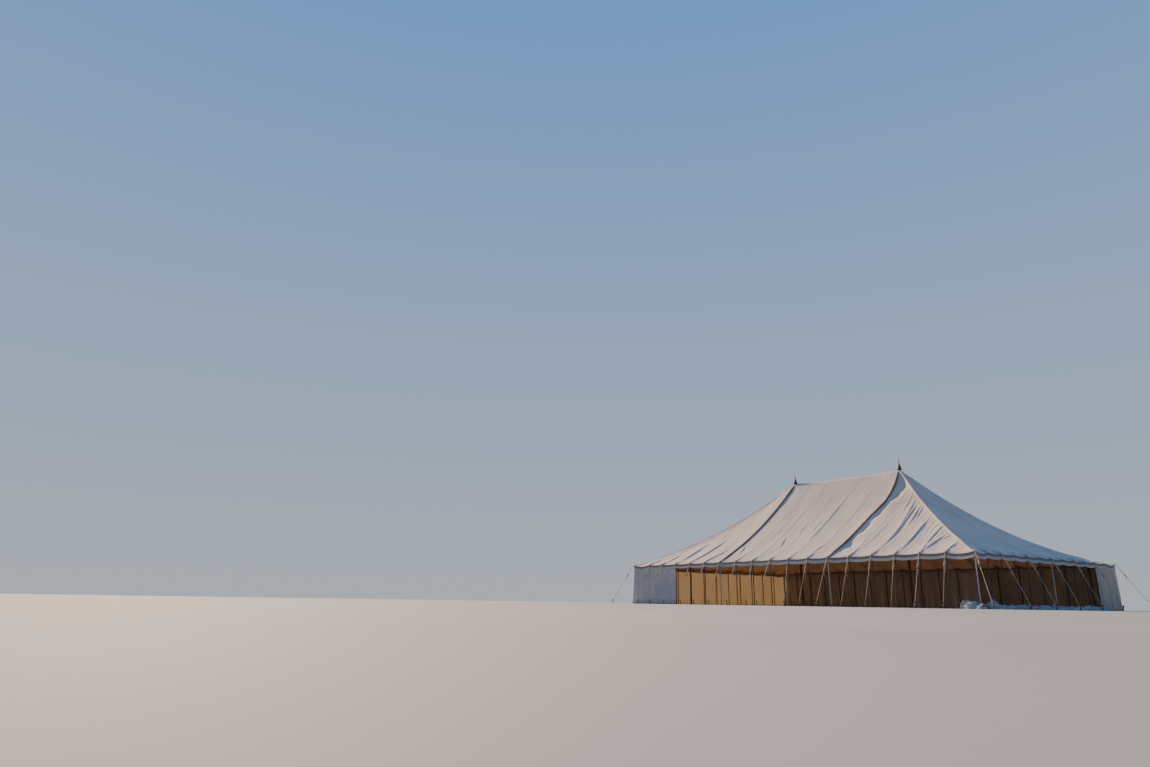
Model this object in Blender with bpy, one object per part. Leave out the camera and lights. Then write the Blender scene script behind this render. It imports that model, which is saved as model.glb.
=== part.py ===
"""Pole marquee: three laced roof sections over two king poles, side poles, guy ropes and hung walls.

Metres, +Z up. The origin is on the ground under the middle of the ridge, +X runs along the ridge
and -Y is the open long side. The ground is z = 0: poles, walls and stakes end on it.
"""

import math

import bmesh
import bpy
from mathutils import Vector
from mathutils.bvhtree import BVHTree

# Plan
LENGTH = 18.09  # between the straight eave lines, along the ridge
WIDTH = 11.99  # between the straight eave lines, across the ridge
SECTION_BAYS = 6  # side-pole bays along each of the three roof sections
END_BAYS = 12  # side-pole bays across each end

# How far the corner guys draw each corner out of both its eave lines
FRONT_LEFT_PULL = 0.10
FRONT_RIGHT_PULL = 0.14
BACK_RIGHT_PULL = 0.02
BACK_LEFT_PULL = 0.10

# Heights
EAVE_HEIGHT = 1.96  # top of the canvas at a side pole
PEAK_HEIGHT = 6.26  # top of the canvas at a king pole
RIDGE_SAG = 0.075  # how far the ridge hangs below the peaks at mid span
BAY_SAG = 0.040  # how far the eave edge dips between two side poles
CORNER_BAY_SAG = 0.080

# How far each slope hangs below a straight line, as a share of its rise
FRONT_SAG = 0.09
BACK_SAG = 0.13
LEFT_SAG = 0.13
RIGHT_SAG = 0.15
FRONT_RIGHT_HIP_SAG = 0.09
BACK_RIGHT_HIP_SAG = 0.175
BACK_LEFT_HIP_SAG = 0.14
FRONT_LEFT_HIP_SAG = 0.125

# Canvas
ROOF_THICKNESS = 0.008
CURTAIN_THICKNESS = 0.005  # valance and walls
VALANCE_DEPTH = 0.20
WALL_SPLAY = 0.03  # how far a wall's foot stands outside the eave edge

# Poles
KING_RADIUS = 0.0575
KING_SPIKE_RADIUS = 0.015
KING_SPIKE_ABOVE = 0.04  # length of the spike above the canvas
SIDE_RADIUS = 0.022
MAIN_RADIUS = 0.025  # corner poles and the poles at the middle of a side or on a king line
SPIKE_RADIUS = 0.007
SPIKE_ABOVE = 0.12
EYELET_RADIUS = 0.012
PEAK_HOLE_RADIUS = 0.045

# Finials
FINIAL_BASE_RADIUS = 0.12
FINIAL_WAIST_RADIUS = 0.0744  # where the cone turns steeper
FINIAL_WAIST_HEIGHT = 0.1215
FINIAL_CONE_HEIGHT = 0.27
FINIAL_NECK_RADIUS = 0.022
FINIAL_ROD_RADIUS = 0.018
FINIAL_HEIGHT = 0.48

# Ropes
GUY_RADIUS = 0.012
EAVE_ROPE_RADIUS = 0.008
GUY_OVERHANG = 0.016  # from the canvas edge to where a guy turns down
GUY_EYE_SHARE = 0.6  # share of its radius that a guy's end keeps off the spike
WALL_ROPE_RADIUS = 0.007
WALL_ROPE_BELOW_EAVE = 0.14
WALL_ROPE_BITE = 0.001  # how far the wall rope beds into the side poles
RIDGE_ROPE_RADIUS = 0.012

# Stakes
# From the eave edge to the feet of a long side's stakes, from the left end to the right
LONG_STAKE_OUTS = (
    0.75, 0.85, 0.85, 0.65, 0.75, 0.80, 0.65, 0.50, 0.95, 0.40, 0.70, 0.90, 0.70, 0.60, 0.50, 0.60, 0.50,
)
END_STAKE_OUT = 0.75  # the same on the ends, where every other pole has a guy
CORNER_STAKE_OUT = 1.24  # from where two straight eave lines meet to the corner stake's foot
STAKE_RADIUS = 0.022
STAKE_HEIGHT = 0.22
STAKE_LEAN = 0.05  # how far a stake's head stands outside its foot
TIE_HEIGHT = 0.13  # where the rope holds the stake

# Walls left hanging, in bays counted from the corner that each hangs at
FRONT_PANEL_BAYS = 3
RIGHT_PANEL_BAYS = 2

# The wall that lies unhooked from the front right corner to the right panel
HEAP_WIDTH = 0.40
HEAP_HEIGHT = 0.34
HEAP_OUT = 0.22  # from the eave line to the middle of the heap
HEAP_END_OUT = 0.17  # the same, where the heap runs on to the hung panel
HEAP_FRONT_BAYS = 0.64  # how far the heap reaches along the front
HEAP_END_SHARE = 0.4  # height of its front end, as a share of the height beside it
HEAP_MEAN_SHARE = 0.82  # mean height near its front end, as a share of its full height
HEAP_FALL_SHARE = 0.25  # how much lower the far end lies
HEAP_LUMP_SHARE = 0.18  # how far the lumps stand above and below that mean
HEAP_NARROW_SHARE = 0.12  # how much narrower than its full width the heap is on average

# Fits
CLEARANCE = 0.0003
POLE_TO_EDGE = 0.012  # from a side pole's outer face in to the eave edge
CORNER_GAP = 0.004  # between two walls that meet at a corner
ROPE_END_GAP = 0.001  # at each end of a rope that meets the next one

# Roundness of the faceted shapes
KING_SIDES = 16
POLE_SIDES = 6
ROPE_SIDES = 6
EYELET_SIDES = 4
SLOPE_ROWS = (0.0, 0.1, 0.26, 0.45, 0.66, 0.86, 1.0)
BAY_STEPS = 2  # roof columns in each bay
HEAP_FRONT_STEPS = 2
HEAP_CORNER_STEPS = 4
HEAP_SIDE_STEPS = 18

WALL_ROPE_INSET = POLE_TO_EDGE + WALL_ROPE_RADIUS - WALL_ROPE_BITE
LONG_BAYS = 3 * SECTION_BAYS
LONG_BAY = LENGTH / LONG_BAYS
END_BAY = WIDTH / END_BAYS
RING_BAYS = 2 * (LONG_BAYS + END_BAYS)
KING_X = LONG_BAY * SECTION_BAYS / 2
FRONT_START = 0
RIGHT_START = LONG_BAYS
BACK_START = LONG_BAYS + END_BAYS
LEFT_START = 2 * LONG_BAYS + END_BAYS
CORNERS = (FRONT_START, RIGHT_START, BACK_START, LEFT_START)
LACED_POINTS = (SECTION_BAYS, 2 * SECTION_BAYS, BACK_START + SECTION_BAYS, BACK_START + 2 * SECTION_BAYS)
MAIN_POINTS = LACED_POINTS + (RIGHT_START + END_BAYS // 2, LEFT_START + END_BAYS // 2)

# Name: first and last eave point of each run of side poles and guys, counted from the front left corner
RUNS = {
    "front_left": (1, SECTION_BAYS - 1),
    "front_middle": (SECTION_BAYS, 2 * SECTION_BAYS - 1),
    "front_right": (2 * SECTION_BAYS, LONG_BAYS - 1),
    "right_front": (RIGHT_START + 1, RIGHT_START + END_BAYS // 2 - 1),
    "right_back": (RIGHT_START + END_BAYS // 2, BACK_START - 1),
    "back_right": (BACK_START + 1, BACK_START + SECTION_BAYS - 1),
    "back_middle": (BACK_START + SECTION_BAYS, BACK_START + 2 * SECTION_BAYS - 1),
    "back_left": (BACK_START + 2 * SECTION_BAYS, LEFT_START - 1),
    "left_back": (LEFT_START + 1, LEFT_START + END_BAYS // 2 - 1),
    "left_front": (LEFT_START + END_BAYS // 2, RING_BAYS - 1),
}
CORNER_PULLS = {
    FRONT_START: FRONT_LEFT_PULL,
    RIGHT_START: FRONT_RIGHT_PULL,
    BACK_START: BACK_RIGHT_PULL,
    LEFT_START: BACK_LEFT_PULL,
}
CORNER_NAMES = {
    FRONT_START: "front_left",
    RIGHT_START: "front_right",
    BACK_START: "back_right",
    LEFT_START: "back_left",
}

# Name: first and last eave point that each hung wall spans
WALLS = {
    "wall_front_panel": (0, FRONT_PANEL_BAYS),
    "wall_right_panel": (BACK_START - RIGHT_PANEL_BAYS, BACK_START),
    "wall_back_right": (BACK_START, BACK_START + SECTION_BAYS),
    "wall_back_middle": (BACK_START + SECTION_BAYS, BACK_START + 2 * SECTION_BAYS),
    "wall_back_left": (BACK_START + 2 * SECTION_BAYS, LEFT_START),
    "wall_left_back": (LEFT_START, LEFT_START + END_BAYS // 2),
    "wall_left_front": (LEFT_START + END_BAYS // 2, RING_BAYS),
}


def clear_scene():
    for obj in list(bpy.data.objects):
        bpy.data.objects.remove(obj, do_unlink=True)


def material(name, colour, roughness, metallic=0.0):
    made = bpy.data.materials.new(name)
    made.use_nodes = True
    shader = made.node_tree.nodes["Principled BSDF"]
    shader.inputs["Base Color"].default_value = (*colour, 1.0)
    shader.inputs["Roughness"].default_value = roughness
    shader.inputs["Metallic"].default_value = metallic
    return made


def add_object(name, mesh_data, finish):
    obj = bpy.data.objects.new(name, mesh_data)
    obj.data.materials.append(finish)
    bpy.context.scene.collection.objects.link(obj)
    return obj


def hide_guide(obj):
    obj.hide_render = True
    obj.display_type = "WIRE"


# Plan of the eave


def eave_plan(point):
    """Where an eave point stands in plan; whole numbers are side poles, counted from the front left."""
    point = point % RING_BAYS
    start = max(corner for corner in CORNERS if corner <= point)
    x, y = LENGTH / 2, WIDTH / 2
    first, along, bay, bays = {
        FRONT_START: (Vector((-x, -y)), Vector((1.0, 0.0)), LONG_BAY, LONG_BAYS),
        RIGHT_START: (Vector((x, -y)), Vector((0.0, 1.0)), END_BAY, END_BAYS),
        BACK_START: (Vector((x, y)), Vector((-1.0, 0.0)), LONG_BAY, LONG_BAYS),
        LEFT_START: (Vector((-x, y)), Vector((0.0, -1.0)), END_BAY, END_BAYS),
    }[start]
    out = Vector((along.y, -along.x))
    on = point - start
    here = first + along * bay * on
    here += CORNER_PULLS[start] * max(0.0, 1.0 - on) * (out - along)
    here += CORNER_PULLS[(start + bays) % RING_BAYS] * max(0.0, 1.0 + on - bays) * (out + along)
    return here


def bay_dip(point):
    """How far the eave edge hangs below its side poles at this point."""
    share = point % 1.0
    bay = math.floor(point) % RING_BAYS
    beside_corner = bay in CORNERS or (bay + 1) % RING_BAYS in CORNERS
    sag = CORNER_BAY_SAG if beside_corner else BAY_SAG
    return sag * 4 * share * (1 - share)


def outset(point, distance, step=1.0):
    """The eave plan moved out by a distance, square to both bays that meet at this point."""
    here = eave_plan(point)
    before = (here - eave_plan(point - step)).normalized()
    after = (eave_plan(point + step) - here).normalized()
    out_before = Vector((before.y, -before.x))
    out_after = Vector((after.y, -after.x))
    mitre = (out_before + out_after).normalized()
    return here + mitre * (distance / mitre.dot(out_before))


def outward(point):
    """The direction that a guy runs in plan from this eave point."""
    if point % RING_BAYS in CORNERS:
        here = eave_plan(point)
        return Vector((math.copysign(1.0, here.x), math.copysign(1.0, here.y))).normalized()
    start = max(c for c in CORNERS if c <= point % RING_BAYS)
    return {
        FRONT_START: Vector((0.0, -1.0)),
        RIGHT_START: Vector((1.0, 0.0)),
        BACK_START: Vector((0.0, 1.0)),
        LEFT_START: Vector((-1.0, 0.0)),
    }[start]


# Roof form


def blend(low, high, share):
    share = min(max(share, 0.0), 1.0)
    return low + (high - low) * share * share * (3 - 2 * share)


def slope_sag(point):
    """The share of the rise that the slope over this eave point hangs below a straight line."""
    point = point % RING_BAYS
    long_free = SECTION_BAYS
    half_end = END_BAYS / 2
    if point < RIGHT_START:
        if point < long_free:
            return blend(FRONT_LEFT_HIP_SAG, FRONT_SAG, point / long_free)
        return blend(FRONT_RIGHT_HIP_SAG, FRONT_SAG, (RIGHT_START - point) / long_free)
    if point < BACK_START:
        across = point - RIGHT_START
        if across < half_end:
            return blend(FRONT_RIGHT_HIP_SAG, RIGHT_SAG, across / half_end)
        return blend(BACK_RIGHT_HIP_SAG, RIGHT_SAG, (BACK_START - point) / half_end)
    if point < LEFT_START:
        across = point - BACK_START
        if across < LONG_BAYS / 2:
            return blend(BACK_RIGHT_HIP_SAG, BACK_SAG, across / long_free)
        return blend(BACK_LEFT_HIP_SAG, BACK_SAG, (LEFT_START - point) / long_free)
    across = point - LEFT_START
    if across < half_end:
        return blend(BACK_LEFT_HIP_SAG, LEFT_SAG, across / half_end)
    return blend(FRONT_LEFT_HIP_SAG, LEFT_SAG, (RING_BAYS - point) / half_end)


def ridge_height(x):
    return PEAK_HEIGHT - RIDGE_SAG * (1 - (x / KING_X) ** 4)


def slope_height(point, share, top):
    """Height of the canvas over an eave point, at a share of the way up to the ridge."""
    edge = EAVE_HEIGHT - bay_dip(point) * (1 - share) ** 3
    drape = 4 * slope_sag(point) * share * (1 - share)
    return edge + (top - EAVE_HEIGHT) * (share - drape) + (EAVE_HEIGHT - edge) * share


def fan_rows(point):
    """The canvas from an eave point up to the ring round its king pole, as a list of points."""
    foot = eave_plan(point)
    king = Vector((math.copysign(KING_X, foot.x), 0.0))
    head = king + (foot - king).normalized() * PEAK_HOLE_RADIUS
    return [
        Vector((*foot.lerp(head, share), slope_height(point, share, PEAK_HEIGHT)))
        for share in SLOPE_ROWS
    ]


def add_sheet(name, columns, finish):
    """A canvas solid: a grid of columns of points, given its thickness straight down."""
    shape = bmesh.new()
    grid = [[shape.verts.new(co) for co in column] for column in columns]
    for left, right in zip(grid, grid[1:]):
        for low in range(len(left) - 1):
            shape.faces.new((left[low], right[low], right[low + 1], left[low + 1]))
    bmesh.ops.triangulate(shape, faces=shape.faces)
    made = bmesh.ops.extrude_face_region(shape, geom=list(shape.faces))
    lower = [item for item in made["geom"] if isinstance(item, bmesh.types.BMVert)]
    bmesh.ops.translate(shape, verts=lower, vec=Vector((0, 0, -ROOF_THICKNESS)))
    bmesh.ops.recalc_face_normals(shape, faces=shape.faces)
    mesh_data = bpy.data.meshes.new(name)
    shape.to_mesh(mesh_data)
    shape.free()
    return add_object(name, mesh_data, finish)


def end_columns(first, last):
    """Columns of half an end section, between its king line and the seam up the middle of the end."""
    steps = (last - first) * BAY_STEPS
    columns = [fan_rows(first + step / BAY_STEPS) for step in range(steps + 1)]
    side = math.copysign(1.0, columns[steps // 2][0].y)
    for point, column in ((first, columns[0]), (last, columns[-1])):
        for co in column:
            if point % RING_BAYS in LACED_POINTS:
                co.x = math.copysign(KING_X + CLEARANCE / 2, co.x)
            else:
                co.y += side * CLEARANCE / 2
    return columns


def middle_columns():
    """Columns of the middle section, each from the front eave over the ridge to the back eave."""
    columns = []
    edge = KING_X - CLEARANCE / 2
    steps = SECTION_BAYS * BAY_STEPS
    for step in range(steps + 1):
        front = SECTION_BAYS + step / BAY_STEPS
        back = BACK_START + 2 * SECTION_BAYS - step / BAY_STEPS
        foot = eave_plan(front)
        x = min(max(foot.x, -edge), edge)
        top = ridge_height(foot.x)
        at_king = step in (0, steps)
        head = PEAK_HOLE_RADIUS if at_king else 0.0
        column = []
        for share in SLOPE_ROWS[:-1]:
            column.append(Vector((x, foot.y * (1 - share) - head * share, slope_height(front, share, top))))
        if at_king:
            column.append(Vector((x, -head, top)))
            column.append(Vector((x - math.copysign(head, x), 0.0, top)))
            column.append(Vector((x, head, top)))
        else:
            column.append(Vector((x, -PEAK_HOLE_RADIUS, slope_height(front, 1 - PEAK_HOLE_RADIUS / 6, top))))
            column.append(Vector((x, 0.0, top)))
            column.append(Vector((x, PEAK_HOLE_RADIUS, slope_height(back, 1 - PEAK_HOLE_RADIUS / 6, top))))
        for share in SLOPE_ROWS[-2::-1]:
            column.append(Vector((x, -foot.y * (1 - share) + head * share, slope_height(back, share, top))))
        columns.append(column)
    return columns


def cut_with(obj, cutter):
    cut = obj.modifiers.new("eyelets", "BOOLEAN")
    cut.operation = "DIFFERENCE"
    cut.solver = "EXACT"
    cut.object = cutter


def make_roof(finish):
    left_seam = LEFT_START + END_BAYS // 2
    right_seam = RIGHT_START + END_BAYS // 2
    sections = {
        "roof_left_front": end_columns(left_seam, RING_BAYS + SECTION_BAYS),
        "roof_left_back": end_columns(LEFT_START - SECTION_BAYS, left_seam),
        "roof_middle": middle_columns(),
        "roof_right_front": end_columns(2 * SECTION_BAYS, right_seam),
        "roof_right_back": end_columns(right_seam, BACK_START + SECTION_BAYS),
    }
    eyelets = add_object("eyelet_cutter", bpy.data.meshes.new("eyelet_cutter"), finish)
    shape = bmesh.new()
    for point in range(RING_BAYS):
        centre = pole_plan(point)
        add_rings(shape, prism_rings(centre, EYELET_RADIUS, EAVE_HEIGHT - 0.1, EAVE_HEIGHT + 0.1, EYELET_SIDES))
    bmesh.ops.recalc_face_normals(shape, faces=shape.faces)
    shape.to_mesh(eyelets.data)
    shape.free()
    hide_guide(eyelets)
    made = []
    for name, columns in sections.items():
        section = add_sheet(name, columns, finish)
        cut_with(section, eyelets)
        made.append(section)
    return made


def seat_tree(sections):
    """A search tree over the canvas, for seating what stands under it."""
    corners, faces = [], []
    for section in sections:
        offset = len(corners)
        corners += [vert.co.copy() for vert in section.data.vertices]
        faces += [tuple(offset + index for index in face.vertices) for face in section.data.polygons]
    return BVHTree.FromPolygons(corners, faces)


def seat_height(tree, outline):
    """The height at which a flat head of this outline just clears the canvas above it."""
    lowest = PEAK_HEIGHT
    for co in outline:
        for beside_seam in (-CLEARANCE, CLEARANCE):
            start = Vector((co.x + beside_seam, co.y + beside_seam, EAVE_HEIGHT / 2))
            hit = tree.ray_cast(start, Vector((0, 0, 1)))[0]
            if hit is not None:
                lowest = min(lowest, hit.z)
    return lowest - CLEARANCE


# Lofted solids


def add_rings(shape, rings):
    """Bridges rings of points into one closed body, with a face on each end."""
    loops = [[shape.verts.new(co) for co in ring] for ring in rings]
    count = len(loops[0])
    for low, high in zip(loops, loops[1:]):
        for index in range(count):
            after = (index + 1) % count
            shape.faces.new((low[index], low[after], high[after], high[index]))
    shape.faces.new(list(reversed(loops[0])))
    shape.faces.new(loops[-1])


def add_loft(name, bodies, finish, smooth_angle=None):
    """An object from one or more lists of rings."""
    shape = bmesh.new()
    for rings in bodies:
        add_rings(shape, rings)
    bmesh.ops.recalc_face_normals(shape, faces=shape.faces)
    mesh_data = bpy.data.meshes.new(name)
    shape.to_mesh(mesh_data)
    shape.free()
    if smooth_angle is not None:
        mesh_data.shade_smooth()
        mesh_data.set_sharp_from_angle(angle=math.radians(smooth_angle))
    return add_object(name, mesh_data, finish)


def round_plan(centre, radius, sides, turn=0.0):
    angles = [turn + 2 * math.pi * step / sides for step in range(sides)]
    return [Vector((centre.x + radius * math.cos(a), centre.y + radius * math.sin(a))) for a in angles]


def round_ring(centre, radius, sides, height, turn=0.0):
    return [Vector((*co, height)) for co in round_plan(centre, radius, sides, turn)]


def prism_rings(centre, radius, low, high, sides):
    return [round_ring(centre, radius, sides, low), round_ring(centre, radius, sides, high)]


def tube_rings(path, radius, sides):
    """Rings of a tube along a path of points, each square to the bend it sits on."""
    rings = []
    for index, here in enumerate(path):
        before = (here - path[index - 1]).normalized() if index else None
        after = (path[index + 1] - here).normalized() if index + 1 < len(path) else None
        along = (before + after).normalized() if before and after else before or after
        run = before or after
        side = Vector((0, 0, 1)).cross(run)
        if side.length < 1e-6:
            side = Vector((1, 0, 0))
        side.normalize()
        lift = run.cross(side).normalized()
        ring = []
        for step in range(sides):
            angle = 2 * math.pi * step / sides
            spoke = side * math.cos(angle) * radius + lift * math.sin(angle) * radius
            ring.append(here + spoke - run * (spoke.dot(along) / run.dot(along)))
        rings.append(ring)
    return rings


def join_with(obj, other):
    join = obj.modifiers.new("joined", "BOOLEAN")
    join.operation = "UNION"
    join.solver = "EXACT"
    join.use_self = True
    join.object = other


# King poles and ridge


def make_kings(tree, wood, cap_finish, rope):
    for side, name in ((-1, "left"), (1, "right")):
        centre = Vector((side * KING_X, 0.0))
        shoulder = seat_height(tree, round_plan(centre, KING_RADIUS, KING_SIDES))
        top = PEAK_HEIGHT + KING_SPIKE_ABOVE
        rings = [
            round_ring(centre, KING_RADIUS, KING_SIDES, 0.0),
            round_ring(centre, KING_RADIUS, KING_SIDES, shoulder),
            round_ring(centre, KING_SPIKE_RADIUS, KING_SIDES, shoulder),
            round_ring(centre, KING_SPIKE_RADIUS, KING_SIDES, top),
        ]
        add_loft("king_pole_" + name, [rings], wood, 40)
        base = PEAK_HEIGHT + CLEARANCE
        bore = KING_SPIKE_RADIUS + CLEARANCE
        profile = (
            (bore, base + KING_SPIKE_ABOVE + CLEARANCE),
            (bore, base),
            (FINIAL_BASE_RADIUS, base),
            (FINIAL_WAIST_RADIUS, base + FINIAL_WAIST_HEIGHT),
            (FINIAL_NECK_RADIUS, base + FINIAL_CONE_HEIGHT),
            (FINIAL_ROD_RADIUS, base + FINIAL_CONE_HEIGHT),
            (FINIAL_ROD_RADIUS, base + FINIAL_HEIGHT - 3 * FINIAL_ROD_RADIUS),
            (FINIAL_ROD_RADIUS / 4, base + FINIAL_HEIGHT),
        )
        finial = [round_ring(centre, radius, KING_SIDES, height) for radius, height in profile]
        add_loft("finial_" + name, [finial], cap_finish, 40)
    steepest = (PEAK_HEIGHT - EAVE_HEIGHT) * (1 + 4 * max(FRONT_SAG, BACK_SAG)) / (WIDTH / 2)
    below = ROOF_THICKNESS + RIDGE_ROPE_RADIUS * math.hypot(1, steepest) + CLEARANCE
    reach = KING_X - KING_RADIUS - 2 * ROPE_END_GAP
    steps = SECTION_BAYS * BAY_STEPS
    path = []
    for step in range(steps + 1):
        x = reach * (2 * step / steps - 1)
        path.append(Vector((x, 0.0, ridge_height(x) - below)))
    add_loft("ridge_rope", [tube_rings(path, RIDGE_ROPE_RADIUS, ROPE_SIDES)], rope, 60)


# Side poles


def pole_radius(point):
    return MAIN_RADIUS if point % RING_BAYS in CORNERS + MAIN_POINTS else SIDE_RADIUS


def pole_plan(point):
    return outset(point, -(pole_radius(point) + POLE_TO_EDGE))


def pole_rings(tree, point):
    """A side pole with a spike through the canvas, one edge of it turned squarely outwards."""
    centre = pole_plan(point)
    radius = pole_radius(point)
    away = outward(point)
    turn = math.atan2(away.y, away.x)
    shoulder = seat_height(tree, round_plan(centre, radius, POLE_SIDES, turn))
    profile = (
        (radius, 0.0),
        (radius, shoulder),
        (SPIKE_RADIUS, shoulder),
        (SPIKE_RADIUS / 2, EAVE_HEIGHT + SPIKE_ABOVE),
    )
    return [round_ring(centre, size, POLE_SIDES, height, turn) for size, height in profile]


def run_ends(first, last):
    """The eave points where a run's ropes begin and end: a corner, or half way to the next run."""
    start = first - 1 if (first - 1) % RING_BAYS in CORNERS else first - 0.5
    stop = last + 1 if (last + 1) % RING_BAYS in CORNERS else last + 0.5
    return start, stop


def shorten(path, ends):
    """A path with its first and last points drawn in by the given lengths."""
    path = [co.copy() for co in path]
    for index, inner, length in ((0, 1, ends[0]), (-1, -2, ends[1])):
        path[index] += (path[inner] - path[index]).normalized() * length
    return path


def make_side_poles(tree, wood):
    for name, (first, last) in RUNS.items():
        start, stop = run_ends(first, last)
        height = EAVE_HEIGHT - WALL_ROPE_BELOW_EAVE
        points = [start, *range(first, last + 1), stop]
        path = [Vector((*outset(point, -WALL_ROPE_INSET), height)) for point in points]
        ends = [
            2 * MAIN_RADIUS if point % RING_BAYS in CORNERS else ROPE_END_GAP
            for point in (start, stop)
        ]
        path = shorten(path, ends)
        rope = add_loft("side_poles_" + name, [tube_rings(path, WALL_ROPE_RADIUS, ROPE_SIDES)], wood)
        poles = [pole_rings(tree, point) for point in range(first, last + 1)]
        guide = add_loft("poles_of_" + name, poles, wood)
        hide_guide(guide)
        join_with(rope, guide)
    for point, name in CORNER_NAMES.items():
        add_loft("corner_pole_" + name, [pole_rings(tree, point)], wood)


# Guy ropes and stakes


def stake_foot(point):
    if point % RING_BAYS in CORNERS:
        edge = eave_plan(point)
        edge = Vector((math.copysign(LENGTH / 2, edge.x), math.copysign(WIDTH / 2, edge.y)))
        return edge + outward(point) * CORNER_STAKE_OUT
    out = END_STAKE_OUT
    if FRONT_START < point < RIGHT_START:
        out = LONG_STAKE_OUTS[(point - FRONT_START - 1) % len(LONG_STAKE_OUTS)]
    elif BACK_START < point < LEFT_START:
        out = LONG_STAKE_OUTS[(LEFT_START - point - 1) % len(LONG_STAKE_OUTS)]
    return eave_plan(point) + outward(point) * out


def stake_rings(point):
    foot = stake_foot(point)
    head = foot + outward(point) * STAKE_LEAN
    return [
        round_ring(foot, STAKE_RADIUS, ROPE_SIDES, 0.0),
        round_ring(head, STAKE_RADIUS, ROPE_SIDES, STAKE_HEIGHT),
    ]


def guy_path(tree, point):
    """A guy from its pole's spike, over the canvas edge and down to its stake."""
    away = outward(point)
    edge = eave_plan(point)
    inner = pole_plan(point) + away * (SPIKE_RADIUS + GUY_RADIUS * GUY_EYE_SHARE)
    depth = (edge - inner).length
    canvas = EAVE_HEIGHT
    for aside in (-GUY_RADIUS, CLEARANCE, GUY_RADIUS):
        above = Vector((inner.x - away.y * aside, inner.y + away.x * aside, PEAK_HEIGHT))
        hit = tree.ray_cast(above, Vector((0, 0, -1)))[0]
        canvas = max(canvas, hit.z)
    slope = (canvas - EAVE_HEIGHT) / depth
    lift = (GUY_RADIUS * math.cos(math.pi / ROPE_SIDES) + 2 * CLEARANCE) * math.hypot(1, slope)
    over = edge + away * GUY_OVERHANG
    tie = stake_foot(point) + away * (STAKE_LEAN * TIE_HEIGHT / STAKE_HEIGHT)
    return [
        Vector((*inner, canvas + lift)),
        Vector((*over, EAVE_HEIGHT - GUY_OVERHANG * slope + lift)),
        Vector((*tie, TIE_HEIGHT)),
    ]


def eave_rope_path(first, last):
    start, stop = run_ends(first, last)
    distance = EAVE_ROPE_RADIUS + CLEARANCE
    path = []
    steps = round((stop - start) * BAY_STEPS)
    for step in range(steps + 1):
        point = start + step / BAY_STEPS
        height = EAVE_HEIGHT - ROOF_THICKNESS / 2 - bay_dip(point)
        path.append(Vector((*outset(point, distance, 1 / BAY_STEPS), height)))
    ends = [
        4 * EAVE_ROPE_RADIUS if point % RING_BAYS in CORNERS else ROPE_END_GAP
        for point in (start, stop)
    ]
    return shorten(path, ends)


def guyed_points(first, last):
    """Eave points of a run that have a guy: all of them along a side, every other one along an end."""
    start = max(corner for corner in CORNERS if corner < first)
    step = 2 if start in (RIGHT_START, LEFT_START) else 1
    return [point for point in range(first, last + 1) if (point - start) % step == 0]


def make_guys(tree, rope):
    for name, (first, last) in RUNS.items():
        eave_rope = tube_rings(eave_rope_path(first, last), EAVE_ROPE_RADIUS, ROPE_SIDES)
        guys = add_loft("guys_" + name, [eave_rope], rope)
        bodies = []
        for point in guyed_points(first, last):
            bodies.append(tube_rings(guy_path(tree, point), GUY_RADIUS, ROPE_SIDES))
            bodies.append(stake_rings(point))
        guide = add_loft("ropes_and_stakes_of_" + name, bodies, rope)
        hide_guide(guide)
        join_with(guys, guide)
    for point, name in CORNER_NAMES.items():
        strand = tube_rings(guy_path(tree, point), GUY_RADIUS, ROPE_SIDES)
        guy = add_loft("corner_guy_" + name, [strand], rope)
        guide = add_loft("corner_stake_of_" + name, [stake_rings(point)], rope)
        hide_guide(guide)
        join_with(guy, guide)


# Valance and walls


def curtain_ring(point, outline, step):
    """Cross-section of a hung curtain, from (distance outside the eave edge, height) pairs of its outer face."""
    outer = [Vector((*outset(point, out, step), height)) for out, height in outline]
    inner = [Vector((*outset(point, out - CURTAIN_THICKNESS, step), height)) for out, height in outline]
    return outer + inner[::-1]


def make_valances(finish):
    spans = {
        "valance_left": (LEFT_START - SECTION_BAYS, RING_BAYS + SECTION_BAYS),
        "valance_front": (SECTION_BAYS, 2 * SECTION_BAYS),
        "valance_right": (2 * SECTION_BAYS, BACK_START + SECTION_BAYS),
        "valance_back": (BACK_START + SECTION_BAYS, BACK_START + 2 * SECTION_BAYS),
    }
    for name, (first, last) in spans.items():
        rings = []
        steps = (last - first) * BAY_STEPS
        for step in range(steps + 1):
            point = first + step / BAY_STEPS
            top = EAVE_HEIGHT - ROOF_THICKNESS - bay_dip(point) - CLEARANCE
            bottom = EAVE_HEIGHT - bay_dip(point) - VALANCE_DEPTH
            rings.append(curtain_ring(point, ((0.0, top), (0.0, bottom)), 1 / BAY_STEPS))
        for ring, inner in ((rings[0], rings[1]), (rings[-1], rings[-2])):
            for co, other in zip(ring, inner):
                co.x += math.copysign(CLEARANCE / 2, other.x - co.x)
        add_loft(name, [rings], finish)


def make_walls(finish):
    top = EAVE_HEIGHT - WALL_ROPE_BELOW_EAVE - WALL_ROPE_RADIUS - CLEARANCE
    hem = EAVE_HEIGHT - VALANCE_DEPTH - CORNER_BAY_SAG
    hung = CURTAIN_THICKNESS + CLEARANCE - POLE_TO_EDGE
    outline = ((hung, top), (hung, hem), (WALL_SPLAY, 0.0))
    for name, (first, last) in WALLS.items():
        rings = [
            curtain_ring(point, outline, 1.0)
            for point in range(first, last + 1)
        ]
        for ring, inner, point in ((rings[0], rings[1], first), (rings[-1], rings[-2], last)):
            gap = CORNER_GAP if point % RING_BAYS in CORNERS else CLEARANCE / 2
            for co, other in zip(ring, inner):
                along = other - co
                along.z = 0.0
                co += along.normalized() * gap
        add_loft(name, [rings], finish)


# The unhooked wall on the ground


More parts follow.
